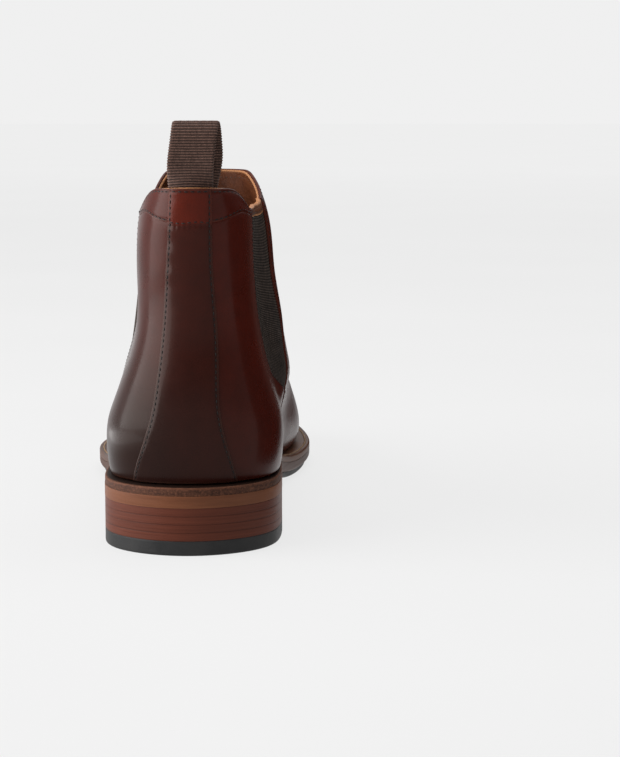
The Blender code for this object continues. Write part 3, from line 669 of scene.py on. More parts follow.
def stitch_row(name, points, out, material, pitch=2.4, length=1.8, radius=0.19, proud=0.07):
    """Separate stitches along a line: each a short bar of thread whose ends dive into the leather."""
    points, out = np.asarray(points, float), np.asarray(out, float)
    along = np.concatenate([[0], np.cumsum(np.linalg.norm(np.diff(points, axis=0), axis=1))])
    number = max(1, int(along[-1] / pitch))
    step = along[-1] / number
    sections = np.linspace(-0.5, 0.5, STITCH_SECTIONS)
    turn = np.linspace(0, 2 * math.pi, STITCH_RING, endpoint=False)
    verts, faces = [], []
    for k in range(number):
        centre = (k + 0.5) * step
        at = centre + sections * length * step / pitch
        place = np.stack([np.interp(at, along, points[:, i]) for i in range(3)], -1)
        up = np.stack([np.interp(at, along, out[:, i]) for i in range(3)], -1)
        up /= np.linalg.norm(up, axis=1, keepdims=True)
        forward = np.gradient(place, axis=0)
        forward /= np.linalg.norm(forward, axis=1, keepdims=True)
        side = np.cross(forward, up)
        swell = np.sqrt(np.maximum(1 - (2 * sections) ** 2 * 0.82, 0))[:, None]
        lift = (proud - 0.42 * np.abs(2 * sections) ** 3)[:, None]
        base = len(verts) * STITCH_RING
        for j in range(STITCH_SECTIONS):
            ring = place[j] + up[j] * lift[j] + radius * swell[j] * (
                np.cos(turn)[:, None] * side[j] * 1.25 + np.sin(turn)[:, None] * up[j]
            )
            verts.append(ring)
        for j in range(STITCH_SECTIONS - 1):
            for m in range(STITCH_RING):
                a, b = base + j * STITCH_RING + m, base + j * STITCH_RING + (m + 1) % STITCH_RING
                faces.append((a, b, b + STITCH_RING, a + STITCH_RING))
        faces.append(tuple(base + m for m in range(STITCH_RING))[::-1])
        last = base + (STITCH_SECTIONS - 1) * STITCH_RING
        faces.append(tuple(last + m for m in range(STITCH_RING)))
    return mesh_object(name, np.concatenate(verts), faces, material)


def stitches_on_upper(name, t, v, depth, material, **settings):
    """A row of stitches along a line of the upper, on a face at some depth."""
    return stitch_row(name, layer(t, v, depth), normals(t, v), material, **settings)


def moved_edge(turn_of, v, distance):
    """The line beside a panel edge t(v), moved round the boot by a distance in millimetres."""
    t = turn_of(v)
    step = 1e-3
    per_turn = np.linalg.norm(surface(t + step, v) - surface(t - step, v), axis=-1) / (2 * step)
    return t + distance / per_turn


# The upper


BAND_LOW = spline(
    [(-1, 0.986), (-0.8, 0.966), (-0.6, 0.928), (-0.25, 0.888), (0, 0.885)]
    + [(0.25, 0.888), (0.6, 0.928), (0.8, 0.966), (1, 0.986)]
)
STRIP_LATERAL = spline([(0, 0.105), (0.2, 0.074), (0.45, 0.082), (0.7, 0.090), (0.9, 0.097), (1, 0.105)])
STRIP_MEDIAL = spline([(0, 0.088), (0.2, 0.062), (0.45, 0.070), (0.7, 0.080), (0.9, 0.092), (1, 0.100)])
COUNTER_TOP, COUNTER_TURN = 0.34, 0.36
PUFF_TURN, PUFF_TOP = 0.79, 0.22
PANEL_GAP = 0.0006
UNDERLAP = 0.011
# Distances of stitch lines from the panels' edges, and heights of the leg at the back and the front.
STRIP_SEAM_IN, QUARTER_SEAM_IN, VAMP_SEAM_IN, VAMP_SECOND_SEAM_IN = 1.35, 1.5, 1.6, 3.6
REAR_HEIGHT, FRONT_HEIGHT = 122.0, 160.0
CLEAR = 99.0


def keep(obj, slot, *nodes):
    """The piece rides the boot, in the place of the frame's nodes, which are hidden. The slot argument is not
    used.
    """
    if nodes:
        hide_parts(*nodes)
    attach(obj, "boot")


def crease_height(t):
    """Where the collar band's lower edge shows through the back strip."""
    return BAND_LOW(0.0) - 0.006 + 0.0022 * np.sin(45 * t)


def rear_edge(v):
    """Front edge of a quarter: the side seam, then the gore's rear edge."""
    return np.where(v < TIP_V, SEAM(v), REAR(v)) - PANEL_GAP


def front_edge(v):
    """Rear edge of the vamp: the side seam, then the gore's front edge."""
    return np.where(v < TIP_V, SEAM(v), FRONT(v)) + PANEL_GAP


def stiffened(t, v):
    """1 over the heel counter and the toe puff, 0 clear of them."""
    turn = np.abs(np.mod(t + 1, 2) - 1)
    heel = smooth((COUNTER_TURN + 0.1 - turn) / 0.08) * smooth((COUNTER_TOP + 0.11 - v) / 0.09)
    toe = smooth((turn - PUFF_TURN + 0.1) / 0.08) * smooth((PUFF_TOP + 0.1 - v) / 0.08)
    return np.maximum(heel, toe)


def lining_depth(t, v):
    """The lining lies under the leather, goes in round the stiffeners and closes up to the collar edge."""
    return 1.8 + 1.75 * stiffened(t, v) - 0.42 * smooth((v - 0.955) / 0.035)


def settled(t, v):
    """Small hollows and swells of pulled leather, as a depth."""
    t = np.mod(t + 1, 2) - 1
    broad = 0.16 * np.sin(9.0 * t + 4.0 * v) * np.sin(7.0 * v + 2.0 * t)
    fine = 0.07 * np.sin(23.0 * t - 11.0 * v + 1.3) * np.sin(19.0 * v + 5.0 * t)
    return (broad + fine) * smooth(v / 0.12) * smooth((1 - v) / 0.06)


def tuck_under_band(t, v, far):
    """The quarter's top edge goes in under the collar band."""
    return settled(t, v) + 0.55 * np.exp(-((far["high"] / 1.3) ** 2))


def band_depth(t, v, far):
    return settled(t, v) - 0.20 * smooth(1 - far["low"] / 9.0) - 0.05


def strip_depth(t, v, far):
    """Skived edges, a crease where the band's lower edge lies underneath, and a bolder top."""
    side = np.minimum(far["left"], far["right"])
    skived = 0.42 * np.exp(-((side / 1.2) ** 2))
    over = v - crease_height(t)
    crease = 0.30 * np.exp(-((over / 0.005) ** 2))
    pucker = 0.07 * np.sin(2 * math.pi * t / 0.021) * np.exp(-((over / 0.012) ** 2))
    ripple = 0.08 * np.sin(2 * math.pi * over / 0.075 + 2 * t)
    ripple *= smooth(-over / 0.02) * smooth((over + 0.30) / 0.2)
    lip = -0.22 * np.exp(-((far["high"] / 2.2) ** 2))
    return settled(t, v) - 0.98 - 0.16 * smooth(over / 0.01) + skived + crease + pucker + ripple + lip


def vamp_depth(t, v, far):
    """Laps over the quarters at the side seams, and breaks a little where the foot bends."""
    t = np.where(t > 1, 2 - t, t)
    side = np.minimum(far["left"], far["right"])
    lap = -0.42 * smooth((TIP_V + 0.02 - v) / 0.03) * np.exp(-((side / 6.0) ** 2))
    instep = 0.5 * smooth((v - 0.40) / 0.05) * smooth((0.66 - v) / 0.05) * smooth((t - 0.70) / 0.12)
    folds = instep * (0.5 + 0.5 * np.sin(2 * math.pi * (v - 0.42) / 0.055 + 3.0 * t)) ** 2
    return settled(t, v) + lap + 0.35 * folds


def upper():
    # edge is the colour of the painted highlight on the rolled edges, and the share just before it is that
    # highlight's strength.
    outer_look = upper_leather(
        "upper_leather_look", dark=(0.0140, 0.0054, 0.0041), red=(0.054, 0.0056, 0.0026),
        red_from=0.03, red_to=0.15, rim_highlight_share=0.30, edge=(0.115, 0.034, 0.018),
    )
    strip_look = upper_leather(
        "strip_leather_look", dark=(0.0140, 0.0044, 0.0034), red=(0.040, 0.0058, 0.0031),
        red_from=0.04, red_to=0.16, rim_highlight_share=0.60, edge=(0.045, 0.022, 0.016),
    )
    tan = lining_leather()
    stretch = elastic()
    black = thread("upper_thread_look", (0.003, 0.0025, 0.0025), (0.014, 0.009, 0.008))
    brown = thread("lining_thread_look", (0.030, 0.012, 0.007), (0.085, 0.038, 0.022))

    for name, side in (("medial", 1), ("lateral", -1)):
        back, front = constant(0.0012 * side), lambda v, side=side: side * rear_edge(v)
        top = (lambda s: BAND_LOW(s) + 0.012) if side > 0 else (lambda s: BAND_LOW(s - 1) + 0.012)
        sides = (back, front) if side > 0 else (front, back)
        front_side = "right" if side > 0 else "left"
        quarter = leather_panel(
            f"quarter_{name}_leather", *sides, constant(0.002), top, 1.5, outer_look,
            depth=tuck_under_band, rounded=(front_side, "low"), seams=((front_side, QUARTER_SEAM_IN),),
        )
        keep(quarter, "upper_leather", f"quarter_{name}")
        v = np.linspace(0.03, 0.998, 200)
        t = side * moved_edge(rear_edge, v, -QUARTER_SEAM_IN)
        over = v > BAND_LOW(0.98)
        at = settled(t, v) + np.where(over, 0.02, 0.12)
        keep(stitches_on_upper(f"quarter_{name}_stitches", t, v, at, black), "upper_leather")

    band = leather_panel(
        "collar_band_leather", lambda v: -rear_edge(v), rear_edge,
        lambda s: BAND_LOW(2 * s - 1), constant(1.0), 1.4, outer_look,
        depth=band_depth, radius=0.75, seams=(("low", 1.0), ("high", 1.3)),
    )
    keep(band, "upper_leather", "collar_band")

    strip = leather_panel(
        "back_strip_leather", lambda v: -STRIP_LATERAL(v), STRIP_MEDIAL,
        constant(0.004), constant(1.001), 1.0, strip_look, depth=strip_depth, radius=0.42,
        seams=(("left", STRIP_SEAM_IN), ("right", STRIP_SEAM_IN), ("high", 1.2)),
        # The top mask marks the strip above the crease, for the painted light there.
        top=lambda t, v: smooth((v - crease_height(t)) / 0.008),
    )
    keep(strip, "strip_leather", "back_strip")
    for name, edge_of, way in (("lateral", lambda v: -STRIP_LATERAL(v), 1), ("medial", STRIP_MEDIAL, -1)):
        v = np.linspace(0.012, 0.985, 240)
        t = moved_edge(edge_of, v, STRIP_SEAM_IN * way)
        far = {"left": 0 * v + STRIP_SEAM_IN, "right": 0 * v + 14, "high": (1 - v) * REAR_HEIGHT}
        at = strip_depth(t, v, far) + 0.1
        keep(stitches_on_upper(f"strip_{name}_stitches", t, v, at, black), "strip_leather")
    t = np.linspace(-STRIP_LATERAL(0.98) + 0.016, STRIP_MEDIAL(0.98) - 0.016, 60)
    v = np.full_like(t, 0.991)
    far = {"left": 0 * t + 9, "right": 0 * t + 9, "high": 0 * t + 1.2}
    at = strip_depth(t, v, far) + 0.1
    keep(stitches_on_upper("strip_top_stitches", t, v, at, black), "strip_leather")
    v = crease_height(t) + 0.009
    far["high"] = 0 * t + 14
    at = strip_depth(t, v, far) + 0.05
    keep(stitches_on_upper("strip_crease_stitches", t, v, at, black), "strip_leather")

    for name, side in (("lateral", -1), ("medial", 1)):
        edge_at = STRIP_LATERAL if side < 0 else STRIP_MEDIAL
        t = side * np.linspace(float(edge_at(0.9)) + 0.008, float(rear_edge(0.97)) - 0.012, 160)
        v = BAND_LOW(t / rear_edge(0.97)) + 0.0082
        at = settled(t, v) - 0.16
        keep(stitches_on_upper(f"band_{name}_stitches", t, v, at, black), "upper_leather")
        t = side * np.linspace(float(edge_at(0.98)) + 0.008, float(rear_edge(0.98)) - 0.004, 160)
        v = 1 - 1.3 / np.interp(np.abs(t), [0, 0.4], [REAR_HEIGHT, 118])
        at = settled(t, v) + 0.08
        keep(stitches_on_upper(f"collar_{name}_stitches", t, v, at, black), "upper_leather")

    vamp = leather_panel(
        "vamp_leather", front_edge, lambda v: 2 - front_edge(v),
        constant(0.0), constant(1.0), 1.9, outer_look, depth=vamp_depth,
        seams=(("left", VAMP_SEAM_IN), ("right", VAMP_SEAM_IN), ("high", 1.4)),
    )
    keep(vamp, "upper_leather", "vamp")
    for name, side in (("medial", 1), ("lateral", -1)):
        for row, v, inset, sunk in (
            ("stitches", np.linspace(0.02, 0.995, 220), VAMP_SEAM_IN, 0.1),
            ("second_stitches", np.linspace(0.02, TIP_V, 60), VAMP_SECOND_SEAM_IN, -0.02),
        ):
            t = moved_edge(front_edge, v, inset)
            far = {"left": 0 * v + inset, "right": 0 * v + CLEAR}
            at = vamp_depth(t, v, far) + sunk
            keep(stitches_on_upper(f"vamp_{name}_{row}", side * t, v, at, black), "upper_leather")
    t = np.linspace(float(front_edge(0.99)) + 0.004, 1.996 - float(front_edge(0.99)), 200)
    v = np.full_like(t, 1 - 1.4 / FRONT_HEIGHT)
    keep(stitches_on_upper("vamp_top_stitches", t, v, settled(t, v) + 0.1, black), "upper_leather")

    for name, side in (("medial", 1), ("lateral", -1)):
        gore_pieces(name, side, stretch, tan, brown)
    linings(tan, brown)


RIB_PITCH = 1.15


def gore_pieces(name, side, stretch, tan, brown):
    """Elastic with real cross ribs, its edges under the leather, and the folded binding on top."""
    rows, cols = 860, 40
    share = np.linspace(0, 1, cols)[None, :]
    v = (TIP_V - 0.012 + (0.990 - TIP_V + 0.012) * np.linspace(0, 1, rows))[:, None]
    v_edge = np.maximum(v, TIP_V + 0.0015)
    low, high = REAR(v_edge) - UNDERLAP, FRONT(v_edge) + UNDERLAP
    share = 0.5 - 0.5 * np.cos(math.pi * share) * (1 - 0.15 * np.sin(math.pi * share) ** 2)
    t = side * (low + (high - low) * share)
    v = np.broadcast_to(v, t.shape)
    rail = surface(t[:, cols // 2], v[:, 0])
    along = np.concatenate([[0], np.cumsum(np.linalg.norm(np.diff(rail, axis=0), axis=1))])[:, None]
    width = np.linalg.norm(surface(side * high, v_edge) - surface(side * low, v_edge), axis=-1)
    from_edge = np.minimum(share, 1 - share) * width
    wave = np.cos(2 * math.pi * along / RIB_PITCH + 0.6 * np.sin(share * 3) + 0 * t)
    dip = 0.85 * smooth(1 - from_edge / 3.2)
    slack = 0.35 * np.sin(math.pi * share) * smooth((v - TIP_V) / 0.2)
    out = 0.62 + dip + slack - 0.13 * wave
    inner = 0.62 + dip + slack + 0.95 + 0.13 * wave
    if side < 0:
        t, v, out, inner, wave = (a[:, ::-1] for a in (t, v, out, inner, wave))
    # The groove mask marks the hollows between the ribs, for the painted shade there.
    fabric = two_faced(
        f"gore_{name}_elastic", layer(t, v, out), layer(t, v, inner), stretch, {"groove": 0.5 - 0.5 * wave}
    )
    keep(fabric, "elastic", f"gore_{name}")

    def rear(v):
        return side * (REAR(v) - 0.004)

    def front(v):
        return side * (FRONT(v) + 0.004)

    sides = (rear, front) if side > 0 else (front, rear)
    binding = leather_panel(
        f"gore_{name}_binding_leather", *sides, constant(0.9735), constant(1.0), 1.0, tan,
        depth=lambda t, v, far: 0.30 + 0.65 * smooth(1 - np.minimum(far["left"], far["right"]) / 2.0),
        thickness=1.9, rounded=("low", "high"), radius=0.7, seams=(("low", 0.9),),
    )
    keep(binding, "lining_leather", f"gore_binding_{name}")
    t = side * np.linspace(float(REAR(0.98)) + 0.006, float(FRONT(0.98)) - 0.006, 90)
    v = np.full_like(t, 0.981)
    row = stitches_on_upper(
        f"gore_{name}_binding_stitches", t, v, 0.42, brown, pitch=2.2, length=1.7, radius=0.2
    )
    keep(row, "lining_leather")


def linings(tan, brown):
    quarter = leather_panel(
        "quarter_lining_leather", lambda v: -rear_edge(v) - 0.004, lambda v: rear_edge(v) + 0.004,
        constant(0.008), lambda s: 0.9985 + 0.0045 * np.exp(-(((s - 0.5) / 0.30) ** 4)), 2.2, tan,
        depth=lambda t, v, far: lining_depth(t, v), thickness=1.0, radius=0.3, seams=(),
    )
    keep(quarter, "lining_leather", "quarter_lining")
    front = leather_panel(
        "front_lining_leather", lambda v: front_edge(v) - 0.004, lambda v: 2.004 - front_edge(v),
        constant(0.014), constant(0.9985), 2.4, tan,
        depth=lambda t, v, far: lining_depth(t, v), thickness=1.0, radius=0.3, seams=(),
    )
    keep(front, "lining_leather", "front_lining")
    rows = (
        ("quarter", np.linspace(-float(rear_edge(0.98)), float(rear_edge(0.98)), 240), 119.0),
        ("front", np.linspace(float(front_edge(0.98)), 2 - float(front_edge(0.98)), 240), FRONT_HEIGHT),
    )
    for name, t, height in rows:
        v = np.full_like(t, 1 - 2.4 / height)
        face = lining_depth(t, v) + 1.0
        row = stitch_row(f"{name}_lining_stitches", layer(t, v, face - 0.1), -normals(t, v), brown)
        keep(row, "lining_leather")
    for name, side in (("medial", 1), ("lateral", -1)):
        for part, edge_of, inset in (("rear", rear_edge, -1.6), ("front", front_edge, 1.6)):
            v = np.linspace(TIP_V + 0.03, 0.985, 160)
            t = side * moved_edge(edge_of, v, inset)
            face = lining_depth(t, v) + 1.0
            row = stitch_row(f"{part}_{name}_lining_stitches", layer(t, v, face - 0.1), -normals(t, v), brown)
            keep(row, "lining_leather")


# The bottom


def slab_edge(thickness, top, bottom, steps=6, middle=4):
    """(inset, depth) down the edge of a slab with rounded corners, from its top face to its bottom face."""
    bend = np.linspace(0, math.pi / 2, steps)
    ring = [(top * (1 - math.sin(a)), top * (1 - math.cos(a))) for a in bend]
    ring += [(0.0, d) for d in np.linspace(top, thickness - bottom, middle + 2)[1:-1]]
    ring += [(bottom * (1 - math.cos(a)), thickness - bottom * (1 - math.sin(a))) for a in bend]
    return ring


def tube_faces(rows, count):
    """Faces between closed loops of points, one loop to each row."""
    r, c = np.meshgrid(np.arange(rows - 1), np.arange(count), indexing="ij")
    a, b = (r * count + c).ravel(), (r * count + (c + 1) % count).ravel()
    return np.stack([a, b, b + count, a + count], -1).tolist()


def sole_slab(name, out, top, thickness, rounds, material, turn_from=0.0, turns=260, across=9):
    """A slab under the foot from one turn to the toe. Its faces follow the seat from side to side."""
    even = np.linspace(0, 1, turns)
    t = turn_from + (1 - turn_from) * (0.4 * (0.5 - 0.5 * np.cos(math.pi * even)) + 0.6 * even)
    share = np.linspace(0, 1, across)[1:-1, None]
    loops = []
    for turn in t:
        edge_ring = slab_edge(thickness, *rounds(turn))
        sides = []
        for way in (-1, 1):
            side = np.array([outline(way * turn, out(way * turn) - inset) for inset, _ in edge_ring])
            side[:, 2] = seat_z(side[:, 1]) - top - np.array([down for _, down in edge_ring])
            sides.append(side)
        left, right = sides
        over = left[0] + (right[0] - left[0]) * share
        over[:, 2] = seat_z(over[:, 1]) - top
        under = right[-1] + (left[-1] - right[-1]) * share
        under[:, 2] = seat_z(under[:, 1]) - top - thickness
        loops.append(np.concatenate([left[::-1], over, right, under]))
    count = len(loops[0])
    faces = tube_faces(len(loops), count)
    if turn_from > 0:
        faces.append(tuple(range(count)))
    return mesh_object(name, np.concatenate(loops), faces, material, None, 38)


def swept(name, turns, section, material, attributes):
    """A strip round the boot. section(t) gives a closed loop of (distance from the featherline, depth)."""
    loops = []
    for turn in turns:
        profile = np.array(section(turn))
        place = outline(turn, profile[:, 0])
        place[:, 2] = seat_z(place[:, 1]) - profile[:, 1]
        loops.append(place)
    count = len(loops[0])
    faces = tube_faces(len(loops), count)
    faces += [tuple(range(count)), tuple((len(loops) - 1) * count + i for i in range(count))[::-1]]
    values = {key: np.tile(value, len(loops)) for key, value in attributes.items()}
    return mesh_object(name, np.concatenate(loops), faces, material, values, 45)


def ledge_section(inner, outer, top, bottom, groove, edge_round):
    """Section of a welt: flat ledge, a groove for the stitches near its edge and a rounded outer edge."""
    points = [(inner, bottom), (inner, (top + bottom) / 2), (inner, top)]
    points += [(inner + (outer - 4.2 - inner) * k, top) for k in (0.25, 0.5, 0.75, 1.0)]
    for step in np.linspace(-1, 1, 9):
        points.append((outer - groove + 0.62 * step, top + 0.34 * math.cos(math.pi * step / 2) ** 2))
    for a in np.linspace(0, math.pi / 2, 7):
        points.append((outer - edge_round * (1 - math.sin(a)), top + edge_round * (1 - math.cos(a))))
    for a in np.linspace(0, math.pi / 2, 4):
        points.append((outer - 0.4 * (1 - math.cos(a)), bottom - 0.4 * (1 - math.sin(a))))
    return points


def rand_section(outer):
    """Section of the heel seat's edge: a ledge with a small rounded lip."""
    points = [(-1.5, 3.72), (-1.5, 2.0), (-1.5, 0.28)]
    points += [(-1.5 + (outer + 0.6) * k, 0.28) for k in (0.25, 0.5, 0.7, 0.85)]
    bend = np.linspace(0, math.pi / 2, 8)
    points += [(outer - 0.55 * (1 - math.sin(a)), 0.28 + 0.55 * (1 - math.cos(a))) for a in bend]
    return points + [(outer, 1.3), (outer, 2.0), (outer, 2.8), (outer - 0.06, 3.72)]


HEEL_LAYERS = (
    ("heel_lift_1", 16.64, 20.10),
    ("heel_lift_2", 13.18, 16.63),
    ("heel_lift_3", 9.72, 13.17),
    ("heel_lift_4", 6.26, 9.71),
)
NAIL_TURNS, NAIL_INSET, NAIL_HOLE_RADIUS = (-0.24, -0.13, 0.0, 0.13, 0.24), 9.0, 1.3


def heel_ring(inset, count=321):
    """The heel's outline in plan, with a breast that bows in a little."""
    turns = np.linspace(-BREAST_TURN, BREAST_TURN, count)
    points = outline(turns, sole_out(turns) - inset)[:, :2]
    bow = np.linspace(0, 1, 33)[1:-1, None]
    breast = points[-1] + (points[0] - points[-1]) * bow
    breast[:, 1] -= 2.5 * np.sin(math.pi * bow[:, 0])
    points = np.concatenate([points, breast])
    near = np.exp(-((points[:, 1] - points[:, 1].max()) / 6.0) ** 2)
    points[:, 1] -= (inset - 0.25) * near
    return points


def heel_layer(name, low, high, inset, rounds, material):
    """One layer of the heel, with rounded corners and darker joint lines."""
    rings, seam_and_shade = [], []
    edge_ring = slab_edge(high - low, *rounds, steps=5, middle=6)
    for extra, down in edge_ring:
        z = high - down
        plan = heel_ring(inset + extra)
        rings.append(np.c_[plan, np.full(len(plan), z)])
        near = min(down, high - low - down)
        seam_and_shade.append(np.full(len(plan), 0.35 * math.exp(-((near / 0.2) ** 2))))
    count = len(rings[0])
    faces = tube_faces(len(rings), count)
    faces += [tuple(range(count)), tuple((len(rings) - 1) * count + i for i in range(count))[::-1]]
    return mesh_object(name, np.concatenate(rings), faces, material, {"seam_and_shade": np.concatenate(seam_and_shade)}, 40)


def cut_holes(obj, radius, top):
    """Round holes for the nails, cut up into the underside."""
    places = outline(np.array(NAIL_TURNS), sole_out(np.array(NAIL_TURNS)) - NAIL_INSET)
    cutters = []
    for place in places:
        bpy.ops.mesh.primitive_cylinder_add(
            vertices=40, radius=radius * MM, depth=(top + 2) * MM,
            location=(place[0] * MM, place[1] * MM, (top - 2) / 2 * MM),
        )
        cutters.append(bpy.context.object)
        cut = obj.modifiers.new("nail_hole", "BOOLEAN")
        cut.operation, cut.solver, cut.object = "DIFFERENCE", "EXACT", cutters[-1]
    graph = bpy.context.evaluated_depsgraph_get()
    drilled = bpy.data.meshes.new_from_object(obj.evaluated_get(graph))
    obj.modifiers.clear()
    obj.data = drilled
    for cutter in cutters:
        bpy.data.objects.remove(cutter, do_unlink=True)


def bottom():
    welt_look = edge_leather("welt_leather_look", (0.045, 0.018, 0.010), (0.105, 0.043, 0.022), 900.0)
    rand_look = edge_leather(
        "rand_leather_look", (0.032, 0.0115, 0.0066), (0.072, 0.028, 0.0155), 1300.0, speckle=0.5
    )
    sole_look = edge_leather(
        "sole_leather_look", (0.108, 0.037, 0.0165), (0.150, 0.054, 0.0245), 700.0,
        front=(0.050, 0.0175, 0.0090),
    )
    stack_look = edge_leather("heel_lift_look", (0.070, 0.0175, 0.0092), (0.098, 0.0255, 0.0135), 1500.0)
    black_rubber = rubber()
    thread_look = thread("welt_thread_look", (0.16, 0.095, 0.050), (0.34, 0.22, 0.13))

    count = len(ledge_section(0, 9, 0, 3.4, 2.3, 0.9))
    # Painted shade: this mask darkens the stitch groove on the welt's ledge.
    seam_and_shade = np.zeros(count)
    seam_and_shade[7:16] = 0.5 * np.cos(np.linspace(-math.pi / 2, math.pi / 2, 9))
    turns = np.linspace(BREAST_TURN - 0.001, 2 - BREAST_TURN + 0.001, 620)
    welt = swept(
        "welt_strip", turns,
        lambda t: ledge_section(-1.5, float(sole_out(t)), 0.28, 3.72, 2.3, 0.95), welt_look, {"seam_and_shade": seam_and_shade},
    )
    keep(welt, "welt_leather", "welt")
    line = np.linspace(BREAST_TURN + 0.012, 2 - BREAST_TURN - 0.012, 500)
    points = outline(line, sole_out(line) - 2.3)
    points[:, 2] -= 0.42
    up = np.tile([0.0, 0.0, 1.0], (len(points), 1))
    row = stitch_row(
        "welt_stitches", points, up, thread_look, pitch=3.4, length=2.9, radius=0.34, proud=0.12
    )
    keep(row, "welt_leather")

    turns = np.linspace(-BREAST_TURN + 0.001, BREAST_TURN - 0.001, 260)
    sample = rand_section(9.0)
    # Painted highlight: this mask marks the lip's outer rounding, which is lightened.
    rim = np.array([math.exp(-((p[0] - 8.75) / 0.35) ** 2) * (p[1] < 0.9) for p in sample])
    # Painted shade: this mask darkens the flat ledge that sits under the upper's overhang.
    seam_and_shade = np.array([0.9 * float(smooth((8.3 - p[0]) / 0.6)) for p in sample])
    rand = swept(
        "heel_rand_strip", turns, lambda t: rand_section(float(sole_out(t)) - 0.2), rand_look,
        {"rim": rim, "seam_and_shade": seam_and_shade},
    )
    keep(rand, "rand_leather", "heel_rand")

    outsole = sole_slab(
        "outsole_leather", lambda t: sole_out(t) - 0.05, 3.74, 5.04,
        lambda t: (0.08, 0.08 + 2.6 * float(smooth((t - BREAST_TURN) / 0.05))), sole_look,
    )
    keep(outsole, "sole_leather", "outsole")
    forepart = sole_slab(
        "forepart_rubber", lambda t: sole_out(t) - 2.5, 8.80, 2.9, lambda t: (0.2, 1.2), black_rubber,
        turn_from=turn_at_y(118.0), turns=170,
    )
    keep(forepart, "rubber", "forepart_sole")
    for name, low, high in HEEL_LAYERS:
        lift = heel_layer(f"{name}_leather", low, high, 0.12, (0.05, 0.05), stack_look)
        keep(lift, "heel_leather", name)
    top_piece = heel_layer("heel_top_piece_rubber", 0.0, 6.24, 0.1, (0.2, 0.7), black_rubber)
    cut_holes(top_piece, NAIL_HOLE_RADIUS, 5.0)
    keep(top_piece, "rubber", "heel_top_piece")

    sock = sole_slab(
        "sock_liner_leather", lambda t: -5.5, -3.95, 1.45, lambda t: (0.5, 0.3), lining_leather(), turns=160
    )
    keep(sock, "lining_leather", "sock_liner")


# The pull loop


def loop_surface():
    """Middle surface of the webbing, as rows of points from the rear end over the top to the front end."""
    shares_across = np.linspace(-1, 1, 25)
    path = [(1.6, -28.3, 160.5), (2.6, -29.2, 169.5), (3.4, -28.6, 175.6), (3.9, -25.4, 178.6)]
    path += [(4.4, -21.5, 176.6), (4.9, -19.2, 170.5), (5.0, -20.0, 162.5)]
    heights = (0.845, 0.88, 0.915, 0.95, 0.978)
    widths = (0.118, 0.119, 0.122, 0.127, 0.134)
    columns = []
    for share in shares_across:
        rear = [layer(-0.008 + share * wide * 1.05, v, 4.1) for v, wide in zip(heights, widths)]
        front = [layer(0.034 + share * wide * 1.03, v, 6.0) for v, wide in zip(heights[::-1], widths[::-1])]
        free = [np.array(p) + (share * LOOP_WIDTH / 2, 0, 0) for p in path]
        columns.append(np.array(rear + free + front))
    control = np.array(columns)
    middle = control[len(control) // 2]
    along = np.concatenate([[0], np.cumsum(np.linalg.norm(np.diff(middle, axis=0), axis=1))])
    at = np.linspace(0, along[-1], int(along[-1] / 0.14))
    lines = [column[:, axis] for column in control for axis in range(3)]
    rows = np.stack([spline(np.c_[along, line])(at) for line in lines], -1)
    return at, rows.reshape(len(at), len(shares_across), 3), shares_across


def pull_loop():
    at, rows, across = loop_surface()
    down = np.gradient(rows, axis=0)
    side = np.gradient(rows, axis=1)
    normal = np.cross(side, down)
    normal /= np.linalg.norm(normal, axis=-1, keepdims=True)
    wave = np.cos(2 * math.pi * at / 1.12)[:, None]
    edge_share = np.abs(across)[None, :]
    thin = 1 - 0.55 * smooth((edge_share - 0.90) / 0.10)
    sideways = side / np.linalg.norm(side, axis=-1, keepdims=True)
    scallop = 0.14 * (wave * (edge_share > 0.97) * np.sign(across)[None, :])[..., None]
    weave = wave * (0.16 + 0.02 * np.cos(2 * math.pi * across * 9)[None, :])
    outer = rows + normal * ((0.60 + weave) * thin)[..., None] + sideways * scallop
    inner = rows - normal * ((0.60 + weave) * thin)[..., None] + sideways * scallop
    # The groove mask marks the hollows between the ribs, for the painted shade there.
    groove = np.broadcast_to(0.5 - 0.5 * wave, outer.shape[:2])
    strip = two_faced("pull_loop_webbing", outer, inner, webbing(), {"groove": groove})
    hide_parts("pull_loop", "loop_end_rear", "loop_end_front")
    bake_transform(strip)
    black = thread("loop_thread_look", (0.012, 0.007, 0.006), (0.045, 0.026, 0.020))
    for number, v in enumerate((0.955, 0.875)):
        t = 0.012 + np.linspace(-0.105, 0.105, 60)
        v = np.full_like(t, v)
        row = stitch_row(f"loop_stitches_{number + 1}", layer(t, v, 6.72), -normals(t, v), black)
        keep(row, "webbing")


# Pieces inside the boot, kept as modelled


def inner_pieces():
    looks = {
        "cork_filler": cork(),
        "shank": metal("spring_steel_look", (0.42, 0.43, 0.45), (0.16, 0.15, 0.15), 0.32),
    }
    fibre = board()
    brass = metal("brass_nail_look", (0.72, 0.50, 0.20), (0.30, 0.19, 0.08), 0.30)
    for name in ("insole", "heel_counter", "toe_puff"):
        looks[name] = fibre
    for number in range(1, 6):
        looks[f"heel_nail_{number}"] = brass
    for name, look in looks.items():
        for material_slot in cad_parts[name].material_slots:
            material_slot.material = look


# Floor, light and camera


def soft_box(name, place, aim, size, power):
    light = bpy.data.lights.new(name, "AREA")
    light.shape, light.size, light.size_y = "RECTANGLE", *size
    light.energy = power
    obj = bpy.data.objects.new(name, light)
    bpy.context.scene.collection.objects.link(obj)
    obj.visible_camera = False
    obj.location = place
    away = np.array(place, float) - np.array(aim, float)
    away /= np.linalg.norm(away)
    across = math.atan2(away[0], -away[1])
    obj.rotation_euler = (math.acos(away[2]), 0.0, across)


